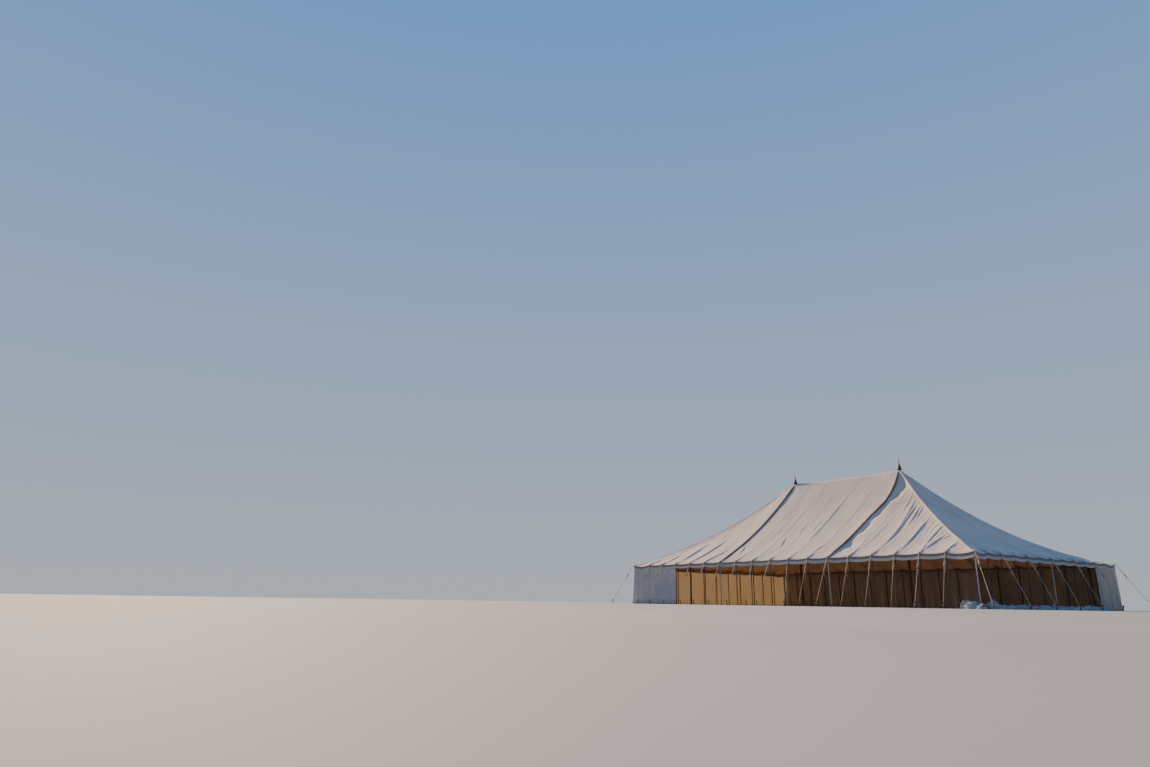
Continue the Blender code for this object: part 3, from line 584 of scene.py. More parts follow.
@dataclass(frozen=True)
class ProofedCanvas:
    """Proofed cotton canvas: woven duck, felled in seams a bay apart.

    Flat and matt, warm cream faded to grey. Rain has run down the slopes and left soft streaks, and stains
    gather along the seams and hems and in a band up from the cloth's lower edge, the eave on the roof; set at
    the top of the valance, that band is painted shade under the eave. Light comes through it tan.
    """

    name: str
    light: str
    middle: str
    grey: str
    stain_and_shade_colour: str
    through: str
    share_through: float
    seam_pitch: float = 1.005
    seam_width: float = 0.025
    stain_and_shade_band: tuple[float, float, float] = (0.0, 0.30, 0.26)  # heights of the most and of no darkening, and its share: stains up from a lower edge; painted shade under the eave when set at the valance's top
    thread_mm: float = 9.0  # threads of the real cloth are 0.7 mm apart, too fine to show
    wrinkles: float = 0.15  # strength of the fine wrinkles that run up the cloth
    weathered: float = 0.0  # how far the cloth has greyed at the top of a slope
    streaked: float = 0.26  # how dark the rain's streaks are

    def make(self) -> bpy.types.Material:
        """Builds the material. It reads the piece's own UV map, in metres across and up the cloth."""
        m = new_material(self.name)
        cloth = node(m, "UVMap", uv_map="Cloth")
        place = node(m, "TexCoord").outputs["Object"]
        axes = node(m, "SeparateXYZ", {0: cloth})
        broad = node(m, "TexNoise", {"Vector": place, "Scale": 0.55, "Detail": 4.0, "Roughness": 0.6})
        stretched = node(m, "Mapping", {"Vector": cloth, "Scale": (5.0, 0.35, 1.0)})
        streaks = node(m, "TexNoise", {"Vector": stretched, "Scale": 1.0, "Detail": 5.0, "Roughness": 0.62})
        mottle = node(m, "TexNoise", {"Vector": place, "Scale": 14.0, "Detail": 3.0, "Roughness": 0.7})
        wrapped = node(
            m, "Math", {0: axes, 1: self.seam_pitch / 2, 2: -self.seam_pitch / 2}, operation="WRAP"
        )
        seam = self._band(m, wrapped, 0.0, self.seam_width / 2)
        hem = self._band(m, axes.outputs["Y"], 0.055, 0.004)
        # Darkens a band of the cloth between two heights: stains up from a lower edge, and painted shade
        # under the eave on the valance, where it is set at the top.
        darkest_height, unmarked, darkening_share = self.stain_and_shade_band
        up = axes.outputs["Y"]
        ranges = (
            (self.stain_and_shade_colour, {"Value": streaks, "From Min": 0.50, "From Max": 0.78, "To Max": self.streaked}),
            (self.grey, {"Value": mottle, "From Min": 0.58, "From Max": 0.80, "To Max": 0.26}),
            (self.stain_and_shade_colour, {"Value": up, "From Min": darkest_height, "From Max": unmarked, "To Min": darkening_share, "To Max": 0.0}),
            (self.stain_and_shade_colour, {"Value": up, "From Min": 3.0, "From Max": 7.0, "To Max": self.weathered}),
        )
        layers = [(node(m, "MapRange", limits), code) for code, limits in ranges]
        layers += [
            (node(m, "Math", {0: seam, 1: 0.34}, operation="MULTIPLY"), self.stain_and_shade_colour),
            (node(m, "Math", {0: hem, 1: 0.45}, operation="MULTIPLY"), self.stain_and_shade_colour),
        ]
        colour = node(m, "ValToRGB", {0: broad}, ((0.30, self.grey), (0.48, self.middle), (0.66, self.light)))
        for share, code in layers:
            colour = node(m, "MixRGB", {"Fac": share, "Color1": colour, "Color2": code})
        bump = self._bump(m, cloth, seam, hem)
        looks = {"Roughness": 0.88, "Sheen Weight": 0.12, "Sheen Roughness": 0.5, "IOR": 1.45}
        looks |= {"Base Color": colour, "Specular IOR Level": 0.25, "Normal": bump}
        shader = node(m, "BsdfPrincipled", looks)
        tan = node(m, "MixRGB", {"Fac": 0.8, "Color1": colour, "Color2": self.through})
        glow = node(m, "BsdfTranslucent", {"Color": tan, "Normal": bump})
        both = node(m, "MixShader", {0: self.share_through, 1: shader, 2: glow})
        node(m, "OutputMaterial", {"Surface": both})
        return m

    @staticmethod
    def _band(m: bpy.types.Material, value: Input, centre: float, half: float) -> bpy.types.Node:
        """Marks a line on the cloth.

        Args:
            m: the material.
            value: the coordinate across the line.
            centre: where the line is, in metres.
            half: half its width.

        Returns:
            A node that gives 1 on the line and fades to 0 over half a width more.
        """
        off = node(m, "Math", {0: value, 1: centre}, operation="SUBTRACT")
        far = node(m, "Math", {0: off}, operation="ABSOLUTE")
        limits = {"Value": far, "From Min": half, "From Max": 2 * half, "To Min": 1.0, "To Max": 0.0}
        return node(m, "MapRange", limits)

    def _bump(self, m: bpy.types.Material, cloth: Input, seam: Input, hem: Input) -> bpy.types.Node:
        """Small crumples, seam ridges, hem stitching and weave as one normal.

        Args:
            m: the material.
            cloth: coordinates on the cloth, in metres.
            seam: 1 on the seams.
            hem: 1 on the hem's stitching.

        Returns:
            The last bump node.
        """
        threads = 1000 / self.thread_mm / (2 * math.pi)
        weaving = {"Vector": cloth, "Scale": threads, "Distortion": 0.6}
        warp, weft = (node(m, "TexWave", weaving, bands_direction=axis) for axis in "XY")
        weave = node(m, "Math", {0: warp, 1: weft}, operation="MULTIPLY")
        turned = node(m, "Mapping", {"Vector": cloth, "Scale": (3.2, 1.1, 1.0), "Rotation": (0.0, 0.0, 0.12)})
        crumple = node(m, "TexNoise", {"Vector": turned, "Scale": 1.6, "Detail": 4.0, "Roughness": 0.55})
        normal = node(m, "Bump", {"Height": crumple, "Strength": 0.30, "Distance": 0.03})
        drawn = node(m, "Mapping", {"Vector": cloth, "Scale": (11.0, 0.9, 1.0), "Rotation": (0.0, 0.0, 0.05)})
        wrinkle = node(m, "TexNoise", {"Vector": drawn, "Scale": 1.0, "Detail": 3.0, "Roughness": 0.6})
        reliefs = (
            (wrinkle, self.wrinkles, 0.03), (seam, 0.7, 0.006), (hem, 0.6, -0.004), (weave, 0.25, 0.002),
        )
        for height, strength, depth in reliefs:
            relief = {"Height": height, "Strength": strength, "Distance": depth, "Normal": normal}
            normal = node(m, "Bump", relief)
        return normal


@dataclass(frozen=True)
class Timber:
    """Round softwood or ash, oiled and handled for years: long grain and dark knots."""

    name: str
    light: str
    dark: str
    grain_mm: float = 7.0
    roughness: float = 0.62

    def make(self) -> bpy.types.Material:
        """Builds the material on Object coordinates, with the grain along Z and soil at the foot."""
        m = new_material(self.name)
        place = node(m, "TexCoord").outputs["Object"]
        stretched = node(m, "Mapping", {"Vector": place, "Scale": (1.0, 1.0, 0.035)})
        fine = 1000 / self.grain_mm / 2
        grain = node(m, "TexNoise", {"Vector": stretched, "Scale": fine, "Detail": 4.0, "Roughness": 0.6})
        patch = node(m, "TexNoise", {"Vector": place, "Scale": 2.2, "Detail": 3.0})
        mixed = node(m, "MixRGB", {"Fac": 0.5, "Color1": grain, "Color2": patch})
        wood = node(m, "ValToRGB", {0: mixed}, ((0.36, self.dark), (0.62, self.light)))
        low = node(m, "SeparateXYZ", {0: place}).outputs["Z"]
        soil = node(m, "MapRange", {"Value": low, "From Max": 0.16, "To Min": 0.6, "To Max": 0.0})
        colour = node(m, "MixRGB", {"Fac": soil, "Color1": wood, "Color2": "#2A211A"})
        smoothest, roughest = self.roughness - 0.1, self.roughness + 0.15
        rough = node(m, "MapRange", {"Value": patch, "To Min": smoothest, "To Max": roughest})
        bump = node(m, "Bump", {"Height": grain, "Strength": 0.35, "Distance": 0.002})
        looks = {"Base Color": colour, "Roughness": rough, "IOR": 1.5, "Normal": bump}
        shader = node(m, "BsdfPrincipled", looks)
        node(m, "OutputMaterial", {"Surface": shader})
        return m


@dataclass(frozen=True)
class LaidRope:
    """Three-strand laid hemp or manila: pale straw, hairy and matt, with painted shade in the grooves between
    the strands.
    """

    name: str
    light: str
    dark: str
    lay_mm: float = 46.0  # one turn of a strand

    def make(self) -> bpy.types.Material:
        """Builds the material on the rope's UV map: once round in X, metres along in Y."""
        m = new_material(self.name)
        axes = node(m, "SeparateXYZ", {0: node(m, "UVMap", uv_map="Cloth")})
        turns = {0: axes.outputs["Y"], 1: 1000 / self.lay_mm, 2: axes}
        spiral = node(m, "Math", turns, operation="MULTIPLY_ADD")
        strand = node(m, "Math", {0: spiral, 1: 3 * math.pi}, operation="MULTIPLY")
        wave = node(m, "Math", {0: strand}, operation="SINE")
        crest = node(m, "Math", {0: wave}, operation="ABSOLUTE")
        place = node(m, "TexCoord").outputs["Object"]
        age = node(m, "TexNoise", {"Vector": place, "Scale": 6.0, "Detail": 4.0})
        # Straw on the strands' crowns, darkening to the dark colour in the grooves between them: painted
        # shade.
        unmarked = node(m, "ValToRGB", {0: crest}, ((0.05, self.dark), (0.55, self.light)))
        worn = node(m, "MapRange", {"Value": age, "From Min": 0.45, "From Max": 0.75, "To Max": 0.45})
        colour = node(m, "MixRGB", {"Fac": worn, "Color1": unmarked, "Color2": self.dark})
        bump = node(m, "Bump", {"Height": crest, "Strength": 0.8, "Distance": 0.003})
        looks = {"Base Color": colour, "Roughness": 0.9, "Sheen Weight": 0.25, "IOR": 1.5, "Normal": bump}
        shader = node(m, "BsdfPrincipled", looks)
        node(m, "OutputMaterial", {"Surface": shader})
        return m


@dataclass(frozen=True)
class Metal:
    """Galvanised steel, brass or painted metal with scratches through to the ground and patchy roughness."""

    name: str
    face: str
    worn: str
    metallic: float
    roughness: float

    def make(self) -> bpy.types.Material:
        """Builds the material on Object coordinates."""
        m = new_material(self.name)
        place = node(m, "TexCoord").outputs["Object"]
        grain = node(m, "TexNoise", {"Vector": place, "Scale": 60.0, "Detail": 5.0, "Roughness": 0.65})
        wear = node(m, "MapRange", {"Value": grain, "From Min": 0.50, "From Max": 0.64})
        colour = node(m, "MixRGB", {"Fac": wear, "Color1": self.face, "Color2": self.worn})
        smoothest, roughest = self.roughness - 0.12, self.roughness + 0.18
        rough = node(m, "MapRange", {"Value": grain, "To Min": smoothest, "To Max": roughest})
        bump = node(m, "Bump", {"Height": grain, "Strength": 0.2, "Distance": 0.001})
        looks = {"Base Color": colour, "Metallic": self.metallic, "Roughness": rough, "Normal": bump}
        shader = node(m, "BsdfPrincipled", looks)
        node(m, "OutputMaterial", {"Surface": shader})
        return m


@dataclass(frozen=True)
class PlainGround:
    """The studio's pale floor: matt, even, with the faintest mottle."""

    name: str = "studio_floor"

    def make(self) -> bpy.types.Material:
        """Builds the material."""
        m = new_material(self.name)
        noise = node(
            m, "TexNoise", {"Vector": node(m, "TexCoord").outputs["Object"], "Scale": 0.4, "Detail": 2.0}
        )
        colour = node(m, "ValToRGB", {0: noise}, ((0.3, "#969694"), (0.7, "#9E9E9C")))
        node(
            m,
            "OutputMaterial",
            {"Surface": node(m, "BsdfPrincipled", {"Base Color": colour, "Roughness": 0.95})},
        )
        return m


class Finishes:
    """Every finish of the tent, made once."""

    def __init__(self) -> None:
        """Makes the materials."""
        faded = ("#CDCAC6", "#C2C0BE", "#B0B2B4")
        self.roof = ProofedCanvas(
            "proofed_roof_canvas", "#E3D6C8", "#DACDBF", "#C9C0B8", "#9A928C", "#D6B48C", 0.25,
            wrinkles=0.45, weathered=0.16,
        ).make()
        # Valance: the cloth darkens towards a dark blue-grey from 0.11 m above its hem up to its top, painted
        # shade under the eave.
        self.curtain = ProofedCanvas(
            "proofed_valance_canvas", "#D6CFC6", "#C8C2BC", "#B2B1B3", "#5C5D64", "#D0B48C", 0.22,
            stain_and_shade_band=(0.17, 0.11, 0.75),
        ).make()
        self.wall = ProofedCanvas(
            "proofed_wall_canvas", *faded, "#74787A", "#DCB888", 0.22, streaked=0.5
        ).make()
        self.thin_wall = ProofedCanvas("worn_thin_wall_canvas", *faded, "#828280", "#E4D2B4", 0.36).make()
        # Back right wall: it lets less light through, and its warmer, darker tone than the other walls is
        # painted shade for the dim inside on the right.
        self.dense_wall = ProofedCanvas(
            "dense_wall_canvas", "#CDBDA6", "#BFAE96", "#AB9C88", "#7A6E60", "#C09A70", 0.10
        ).make()
        # Right hung panel: stains rise from its foot and rain streaks run down it; its warmer, less blue tone
        # than the other walls is painted shade for the dim, less blue light that reaches it.
        self.stained_shaded_wall = ProofedCanvas(
            "stained_shaded_wall_canvas", "#D2C6B2", "#C2B6A2", "#ACA292", "#78705F", "#DCB888", 0.22,
            stain_and_shade_band=(0.0, 0.60, 0.34), streaked=0.6,
        ).make()
        # Dropped wall: a darker, bluer grey than the hung walls, painted shade for the shade the heap lies
        # in.
        self.heap = ProofedCanvas(
            "shade_darkened_heap_canvas", "#B4BABE", "#A0A8AE", "#878F97", "#585D64", "#C0A888", 0.20
        ).make()
        # Lacing flaps: dark brown all over, so that each strip reads as the shaded gap beside its lacing:
        # painted shade.
        self.flap = ProofedCanvas(
            "shade_dark_flap_canvas", "#7A6458", "#66544C", "#544844", "#3C3636", "#6A543C", 0.08
        ).make()
        self.dark_pole = Timber("oiled_dark_ash", "#5A4433", "#33241A").make()
        self.pale_pole = Timber("weathered_ash", "#B3A898", "#857A6D").make()
        self.king_pole = Timber("varnished_spruce", "#8A6440", "#5E4028", 11.0).make()
        self.stake = Timber("cleft_chestnut", "#6B5846", "#40322A", 9.0, 0.8).make()
        self.rope = LaidRope("laid_manila", "#D3B899", "#8E7256").make()
        self.ridge_rope = LaidRope("laid_hemp", "#A08E74", "#5C4E3C", 70.0).make()
        self.steel = Metal("galvanised_steel", "#8E9296", "#6B6D6E", 1.0, 0.45).make()
        self.brass = Metal("dull_brass", "#9A8556", "#6E5E3E", 1.0, 0.4).make()
        self.finial = Metal("painted_spun_metal", "#202A3A", "#39424F", 0.0, 0.6).make()


# Meshes


class Cloth:
    """Collects grids and tubes with their UVs, and makes one mesh object of them."""

    def __init__(self, name: str) -> None:
        """Starts an empty piece of this name."""
        self.name = name
        self.places: list[np.ndarray] = []
        self.faces: list[np.ndarray] = []
        self.uvs: list[np.ndarray] = []
        self.count = 0

    def grid(self, places: np.ndarray, uv: np.ndarray, closed: bool = False, flip: bool = False) -> None:
        """Adds a grid of points.

        Args:
            places: positions, rows by columns by 3.
            uv: coordinates, rows by columns by 2, with one more column than places where closed.
            closed: whether the last column joins the first.
            flip: turns the faces over.
        """
        rows, columns = places.shape[:2]
        wide = columns if closed else columns - 1
        r, c = np.meshgrid(np.arange(rows - 1), np.arange(wide), indexing="ij")
        nxt = (c + 1) % columns
        corners = [(r, c), (r, nxt), (r + 1, nxt), (r + 1, c)]
        uv_corners = [(r, c), (r, c + 1), (r + 1, c + 1), (r + 1, c)]
        if flip:
            corners, uv_corners = corners[::-1], uv_corners[::-1]
        self.faces.append(np.stack([a * columns + b for a, b in corners], -1).reshape(-1, 4) + self.count)
        self.uvs.append(np.stack([uv[a, b] for a, b in uv_corners], -2).reshape(-1, 2))
        self.places.append(places.reshape(-1, 3))
        self.count += rows * columns

    def tube(self, path: np.ndarray, radius: float | np.ndarray, sides: int = 8) -> None:
        """Adds a round rope along a path, closed to a point at both ends.

        Args:
            path: the rope's middle line.
            radius: its radius, or one for each point of the path.
            sides: how many sides its section has.
        """
        path = np.asarray(path, float)
        runs = np.gradient(path, axis=0)
        runs /= np.linalg.norm(runs, axis=1, keepdims=True)
        guide = np.array((0.0, 0.0, 1.0)) if abs(runs[0, 2]) < 0.9 else np.array((1.0, 0.0, 0.0))
        frames = []
        for run in runs:
            side = np.cross(run, guide)
            side /= np.linalg.norm(side)
            lift = np.cross(side, run)
            guide = lift
            frames.append((side, lift))
        radii = np.broadcast_to(np.asarray(radius, float), (len(path),)).copy()
        angle = np.linspace(0, 2 * np.pi, sides, endpoint=False)
        spokes = np.array([np.outer(np.cos(angle), s) + np.outer(np.sin(angle), k) for s, k in frames])
        rings = path[:, None] + spokes * radii[:, None, None]
        first, last = (np.repeat(tip[:, None], sides, 1) for tip in (path[:1], path[-1:]))
        rings = np.concatenate([first, rings, last])
        along = np.concatenate([[0.0], np.linalg.norm(np.diff(path, axis=0), axis=1).cumsum()])
        along = np.concatenate([[0.0], along, along[-1:]])
        u, v = np.meshgrid(np.linspace(0, 1, sides + 1), along)
        self.grid(rings, np.stack([u, v], -1), closed=True)

    def make(self, material: bpy.types.Material, merge: float = 1e-5) -> bpy.types.Object:
        """Makes the object and merges what meets.

        Args:
            material: its finish.
            merge: distance within which points are one.

        Returns:
            The new object at the origin.
        """
        mesh = bpy.data.meshes.new(self.name)
        faces = np.concatenate(self.faces)
        mesh.from_pydata(np.concatenate(self.places).tolist(), [], faces.tolist())
        uvs = np.concatenate(self.uvs).astype(np.float32)
        mesh.uv_layers.new(name="Cloth").data.foreach_set("uv", uvs.ravel())
        mesh.materials.append(material)
        made = bpy.data.objects.new(self.name, mesh)
        bpy.context.scene.collection.objects.link(made)
        Bench.take(made)
        bpy.ops.object.mode_set(mode="EDIT")
        bpy.ops.mesh.select_all(action="SELECT")
        bpy.ops.mesh.remove_doubles(threshold=merge)
        bpy.ops.mesh.select_all(action="DESELECT")
        bpy.ops.object.mode_set(mode="OBJECT")
        mesh.shade_smooth()
        return made


class Bench:
    """Handwork on mesh objects."""

    @staticmethod
    def clear() -> None:
        """Deselects everything."""
        bpy.ops.object.select_all(action="DESELECT")

    @staticmethod
    def take(*objects: bpy.types.Object) -> bpy.types.Object:
        """Selects only these objects and makes the first active."""
        Bench.clear()
        for obj in objects:
            obj.select_set(True)
        bpy.context.view_layer.objects.active = objects[0]
        return objects[0]

    @staticmethod
    def added(name: str) -> bpy.types.Object:
        """Names the primitive that was just added, and puts its place in its mesh."""
        made = bpy.context.active_object
        Bench.take(made)
        bpy.ops.object.transform_apply(location=True, rotation=True, scale=True)
        made.name = made.data.name = name
        return made

    @staticmethod
    def pick(obj: bpy.types.Object, test: Callable[[Vector, Vector], bool]) -> None:
        """Selects faces and goes to edit mode.

        Args:
            obj: the object.
            test: tells from a face's centre and normal whether it is wanted.
        """
        bpy.ops.object.mode_set(mode="OBJECT")
        for group in (obj.data.vertices, obj.data.edges, obj.data.polygons):
            group.foreach_set("select", [False] * len(group))
        for face in obj.data.polygons:
            face.select = test(face.center, face.normal)
        bpy.ops.object.mode_set(mode="EDIT")
        bpy.ops.mesh.select_mode(type="FACE")

    @staticmethod
    def extrude(rise: float, scale: float = 1.0, x: float = 0.0) -> None:
        """Extrudes the selected faces upwards, then scales the new cap in plan.

        Args:
            rise: how far up, in metres.
            scale: the cap's scale.
            x: where on the X axis it is scaled about.
        """
        bpy.ops.mesh.extrude_region_move(TRANSFORM_OT_translate={"value": (0, 0, rise)})
        if scale != 1.0:
            bpy.ops.transform.resize(value=(scale, scale, 1.0), center_override=(x, 0, 0))

    @staticmethod
    def smooth_by_angle(obj: bpy.types.Object, degrees: float = 35.0) -> None:
        """Ends edit mode and shades an object smooth between edges sharper than an angle."""
        if bpy.context.mode != "OBJECT":
            bpy.ops.mesh.select_all(action="DESELECT")
            bpy.ops.object.mode_set(mode="OBJECT")
        Bench.take(obj)
        bpy.ops.object.shade_smooth_by_angle(angle=math.radians(degrees))

    @staticmethod
    def apply(obj: bpy.types.Object, kind: str, **settings: str | float) -> None:
        """Adds a modifier and applies it.

        Args:
            obj: the object.
            kind: the modifier's type.
            settings: its properties.
        """
        Bench.take(obj)
        modifier = obj.modifiers.new(kind.lower(), kind)
        for name, value in settings.items():
            setattr(modifier, name, value)
        bpy.ops.object.modifier_apply(modifier=modifier.name)

    @staticmethod
    def thicken(obj: bpy.types.Object, thickness: float) -> bpy.types.Object:
        """Gives a sheet its thickness, inwards from its faces."""
        Bench.apply(obj, "SOLIDIFY", thickness=thickness, offset=-1.0)
        return obj

    @staticmethod
    def copies(pattern: bpy.types.Object, name: str, places: Iterable[Matrix]) -> bpy.types.Object:
        """Copies a pattern, mesh and all, to each place and joins the copies.

        Args:
            pattern: the object that was modelled once.
            name: name of the joined piece.
            places: a transform for each copy.

        Returns:
            The joined piece at the origin.
        """
        made = []
        for place in places:
            copy = bpy.data.objects.new(name, pattern.data.copy())
            copy.data.transform(place)
            bpy.context.scene.collection.objects.link(copy)
            made.append(copy)
        return Bench.joined(made, name)

    @staticmethod
    def joined(parts: list[bpy.types.Object], name: str) -> bpy.types.Object:
        """Joins objects into the first of them, and names it."""
        Bench.take(*parts)
        if len(parts) > 1:
            bpy.ops.object.join()
        parts[0].name = parts[0].data.name = name
        return parts[0]

    @staticmethod
    def drop(obj: bpy.types.Object) -> None:
        """Removes a pattern that has been copied."""
        bpy.data.objects.remove(obj, do_unlink=True)


def finish_piece(piece: bpy.types.Object, slot: Slot, *replaced: str) -> bpy.types.Object:
    """Makes a piece ride on the tent, hides the CAD nodes it stands for, and reports it.

    Args:
        piece: the finished object.
        slot: the record's material slot; not used.
        replaced: CAD nodes that it replaces.

    Returns:
        The piece.
    """
    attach(piece, "root")
    if replaced:
        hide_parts(*replaced)
    LOG.info("%s: %d faces", piece.name, len(piece.data.polygons))
    return piece


def frame_at(x: float, y: float, z: float, away: np.ndarray, tilt: float = 0.0) -> Matrix:
    """A transform to a place.

    Args:
        x: place along the ridge.
        y: place across it.
        z: height.
        away: direction in plan that local X is turned to.
        tilt: angle that it is then turned down by, in radians.

    Returns:
        The transform.
    """
    turn = math.atan2(away[1], away[0])
    return Matrix.Translation((x, y, z)) @ Matrix.Rotation(turn, 4, "Z") @ Matrix.Rotation(tilt, 4, "Y")


# Roof


@dataclass
class Roof:
    """The three laced sections of the canvas roof with their flaps, lacing, patches and eyelets."""

    finishes: Finishes
    columns: int = 38  # in each bay
    rows: int = 34
    hip_rows: tuple[float, ...] = (0.976, 0.988, 0.995)  # closer rows beside a hip, as shares of the way up
    middle_rows: int = 60
    flap_width: float = 0.13
    flap_sewn: float = 0.035  # the part on the left of the lacing
    flap_lift: float = 0.004  # the flaps' and patches' canvas stands this far above the roof's
    flap_canvas: float = 0.003
    loop_pitch: float = 0.15
    patch: float = 0.20
    slope_stretch: float = 1.2  # the cloth's length up a slope, to that in plan

    def build(self) -> None:
        """Builds every piece of the roof."""
        flaps = {hand: self.flap(hand, name) for hand, name in KINGS}
        seams = {hand: self.end_seam(hand, name) for hand, name in KINGS}
        left = self.end_section("roof_left_canvas", -1)
        middle = self.middle_section("roof_middle_canvas")
        right = self.end_section("roof_right_canvas", 1)
        trims = self.patches()
        king_poles = ["king_pole_left", "king_pole_right"]
        left_posts = ["side_poles_front_left", "king_pole_left"]
        right_posts = ["side_poles_front_right", "king_pole_right"]
        ends = (12.6, 9.6)
        sections = (
            (
                left, ends, left_posts,
                [flaps[-1], seams[-1], *trims["left"]], ("roof_left_front", "roof_left_back"),
            ),
            (
                middle, (6.1, 15.4), ["ridge_rope", *king_poles],
                [flaps[1], *trims["middle"]], ("roof_middle",),
            ),
            (right, ends, right_posts, [seams[1], *trims["right"]], ("roof_right_front", "roof_right_back")),
        )
        for canvas, flat, rests_on, sewn, nodes in sections:
            finish_piece(canvas, Slot.CANVAS, *nodes)

    def _close(self, cloth: Cloth) -> bpy.types.Object:
        """Makes the section and gives it the canvas's thickness downwards."""
        made = Bench.thicken(cloth.make(self.finishes.roof), FORM.canvas)
        made.data.shade_smooth()
        return made

    def end_section(self, name: str, hand: int) -> bpy.types.Object:
        """One end section, whose columns run up from the eave to the hips, so that folds stay crisp.

        Args:
            name: the piece's name.
            hand: -1 for the left end, 1 for the right one.

        Returns:
            The canvas.
        """
        cloth = Cloth(name)
        half, reach = FORM.width / 2, FORM.length / 2 - FORM.king_x
        hips = np.linspace(0, 1, SECTION_BAYS * self.columns + 1)
        for long_side in LONG_SIDES:
            rows = np.sort(np.append(np.linspace(0, 1, self.rows + 1) ** 1.15, self.hip_rows))
            towards = hand * ALONG[long_side.value][0]
            u_long = np.where(towards > 0, FORM.length - hips * reach, hips * reach)
            t_long = rows[:, None] * (hips * half)[None]
            side_end = Side.RIGHT if hand > 0 else Side.LEFT
            before = (long_side is Side.FRONT) == (hand > 0)
            u_end = hips * half if before else FORM.width - hips * half
            t_end = rows[:, None] * (hips * reach)[None]
            u_long, u_end = np.broadcast_to(u_long, t_long.shape), np.broadcast_to(u_end, t_end.shape)
            long_grid = FOLDS.canvas(long_side, u_long, t_long, right_of=hand > 0)
            end_grid = FOLDS.canvas(side_end, u_end, t_end)
            end_grid[-1] = long_grid[-1]
            cloth.grid(long_grid, self._uv(u_long, t_long), flip=towards > 0)
            cloth.grid(end_grid, self._uv(u_end, t_end), flip=not before)
        return self._close(cloth)

    def _uv(self, u: np.ndarray, t: np.ndarray, from_eave: float = 0.0) -> np.ndarray:
        """Coordinates on the cloth: metres across it, and up it from its edge."""
        return np.stack([u, t * self.slope_stretch + from_eave], -1)

    def middle_section(self, name: str) -> bpy.types.Object:
        """The middle section: columns run from the front eave over the ridge to the back eave."""
        cloth = Cloth(name)
        edge = FORM.king_x - SECTION_GAP / 2
        x = np.linspace(-edge, edge, SECTION_BAYS * self.columns + 1)
        t = np.linspace(0, 1, self.middle_rows + 1)[:, None] ** 1.1 * (FORM.width / 2)
        for side in LONG_SIDES:
            u = (x + FORM.length / 2) if side is Side.FRONT else (FORM.length / 2 - x)
            grid_u = np.broadcast_to(u, (len(t), len(u)))
            grid_t = np.broadcast_to(t, grid_u.shape)
            cloth.grid(FOLDS.canvas(side, grid_u, grid_t), self._uv(grid_u, grid_t), flip=side is Side.BACK)
        return self._close(cloth)

    def flap(self, hand: int, name: str) -> bpy.types.Object:
        """The strip of canvas that covers a lacing, with the rope loops that hold it.

        Args:
            hand: -1 for the left lacing, 1 for the right one.
            name: the lacing's side, as in the pieces' names.

        Returns:
            The strip.
        """
        king = hand * FORM.king_x
        cloth, loops = Cloth(f"lacing_flap_{name}"), Cloth(f"lacing_loops_{name}")
        t = np.linspace(0.015, FORM.width / 2 - 0.11, 90)
        across = np.linspace(-self.flap_sewn, self.flap_width - self.flap_sewn, 8)
        for side in LONG_SIDES:
            turn = ALONG[side.value][0]
            u0 = FORM.length / 2 + turn * king
            grid_t = np.repeat(t[:, None], len(across), 1)
            ragged = 1 + 0.10 * np.sin(5.1 * grid_t + hand) + 0.05 * np.sin(13.0 * grid_t)
            offset = np.where(across > 0, across * ragged, across)
            places, _ = FORM.slope(side, u0 + turn * offset, grid_t)
            base = self._beside(side, u0, turn, offset, grid_t)
            droop = 0.28 * np.maximum(offset, 0) * smooth(grid_t / 0.8)
            places[..., 2] += np.where(offset < 0, base, base - droop) + self.flap_lift
            cloth.grid(places, self._uv(offset + 0.4, grid_t, 0.2), flip=side is Side.BACK)
            for at in np.arange(0.30, FORM.width / 2 - 0.25, self.loop_pitch):
                self._loop(loops, side, u0, turn, at)
        made = Bench.thicken(cloth.make(self.finishes.flap), self.flap_canvas)
        finish_piece(made, Slot.CANVAS)
        finish_piece(loops.make(self.finishes.rope), Slot.ROPE)
        return made

    @staticmethod
    def _beside(side: Side, u0: float, turn: float, offset: np.ndarray, t: np.ndarray) -> np.ndarray:
        """Folds that carry the flap and its loops.

        Args:
            side: the slope.
            u0: the lacing's distance along the side.
            turn: the side's direction, 1 on the front and -1 on the back.
            offset: distance right of the lacing; right of it the folds are those of its left edge.
            t: distance in from the straight eave.

        Returns:
            Heights above the smooth canvas.
        """
        free = np.full(t.shape, 3.0)
        return FOLDS.lift(side, u0 + turn * np.minimum(offset, -0.002), t, free)

    def _loop(self, loops: Cloth, side: Side, u0: float, turn: float, at: float) -> None:
        """Adds a becket, a short loop of rope through two eyelets across the flap's sewn edge.

        Args:
            loops: the ropes' piece.
            side: the slope.
            u0: the lacing's distance along the side.
            turn: the side's direction, 1 on the front and -1 on the back.
            at: distance in from the straight eave.
        """
        across = np.array([-0.105, -0.10, -0.06, -0.02, 0.02, 0.025])
        rise = np.array([-0.006, 0.006, 0.012, 0.012, 0.005, -0.008])
        t = np.full(across.shape, at)
        places, _ = FORM.slope(side, u0 + turn * across, t)
        places[:, 2] += self._beside(side, u0, turn, across, t) + rise
        loops.tube(places, 0.005, 5)

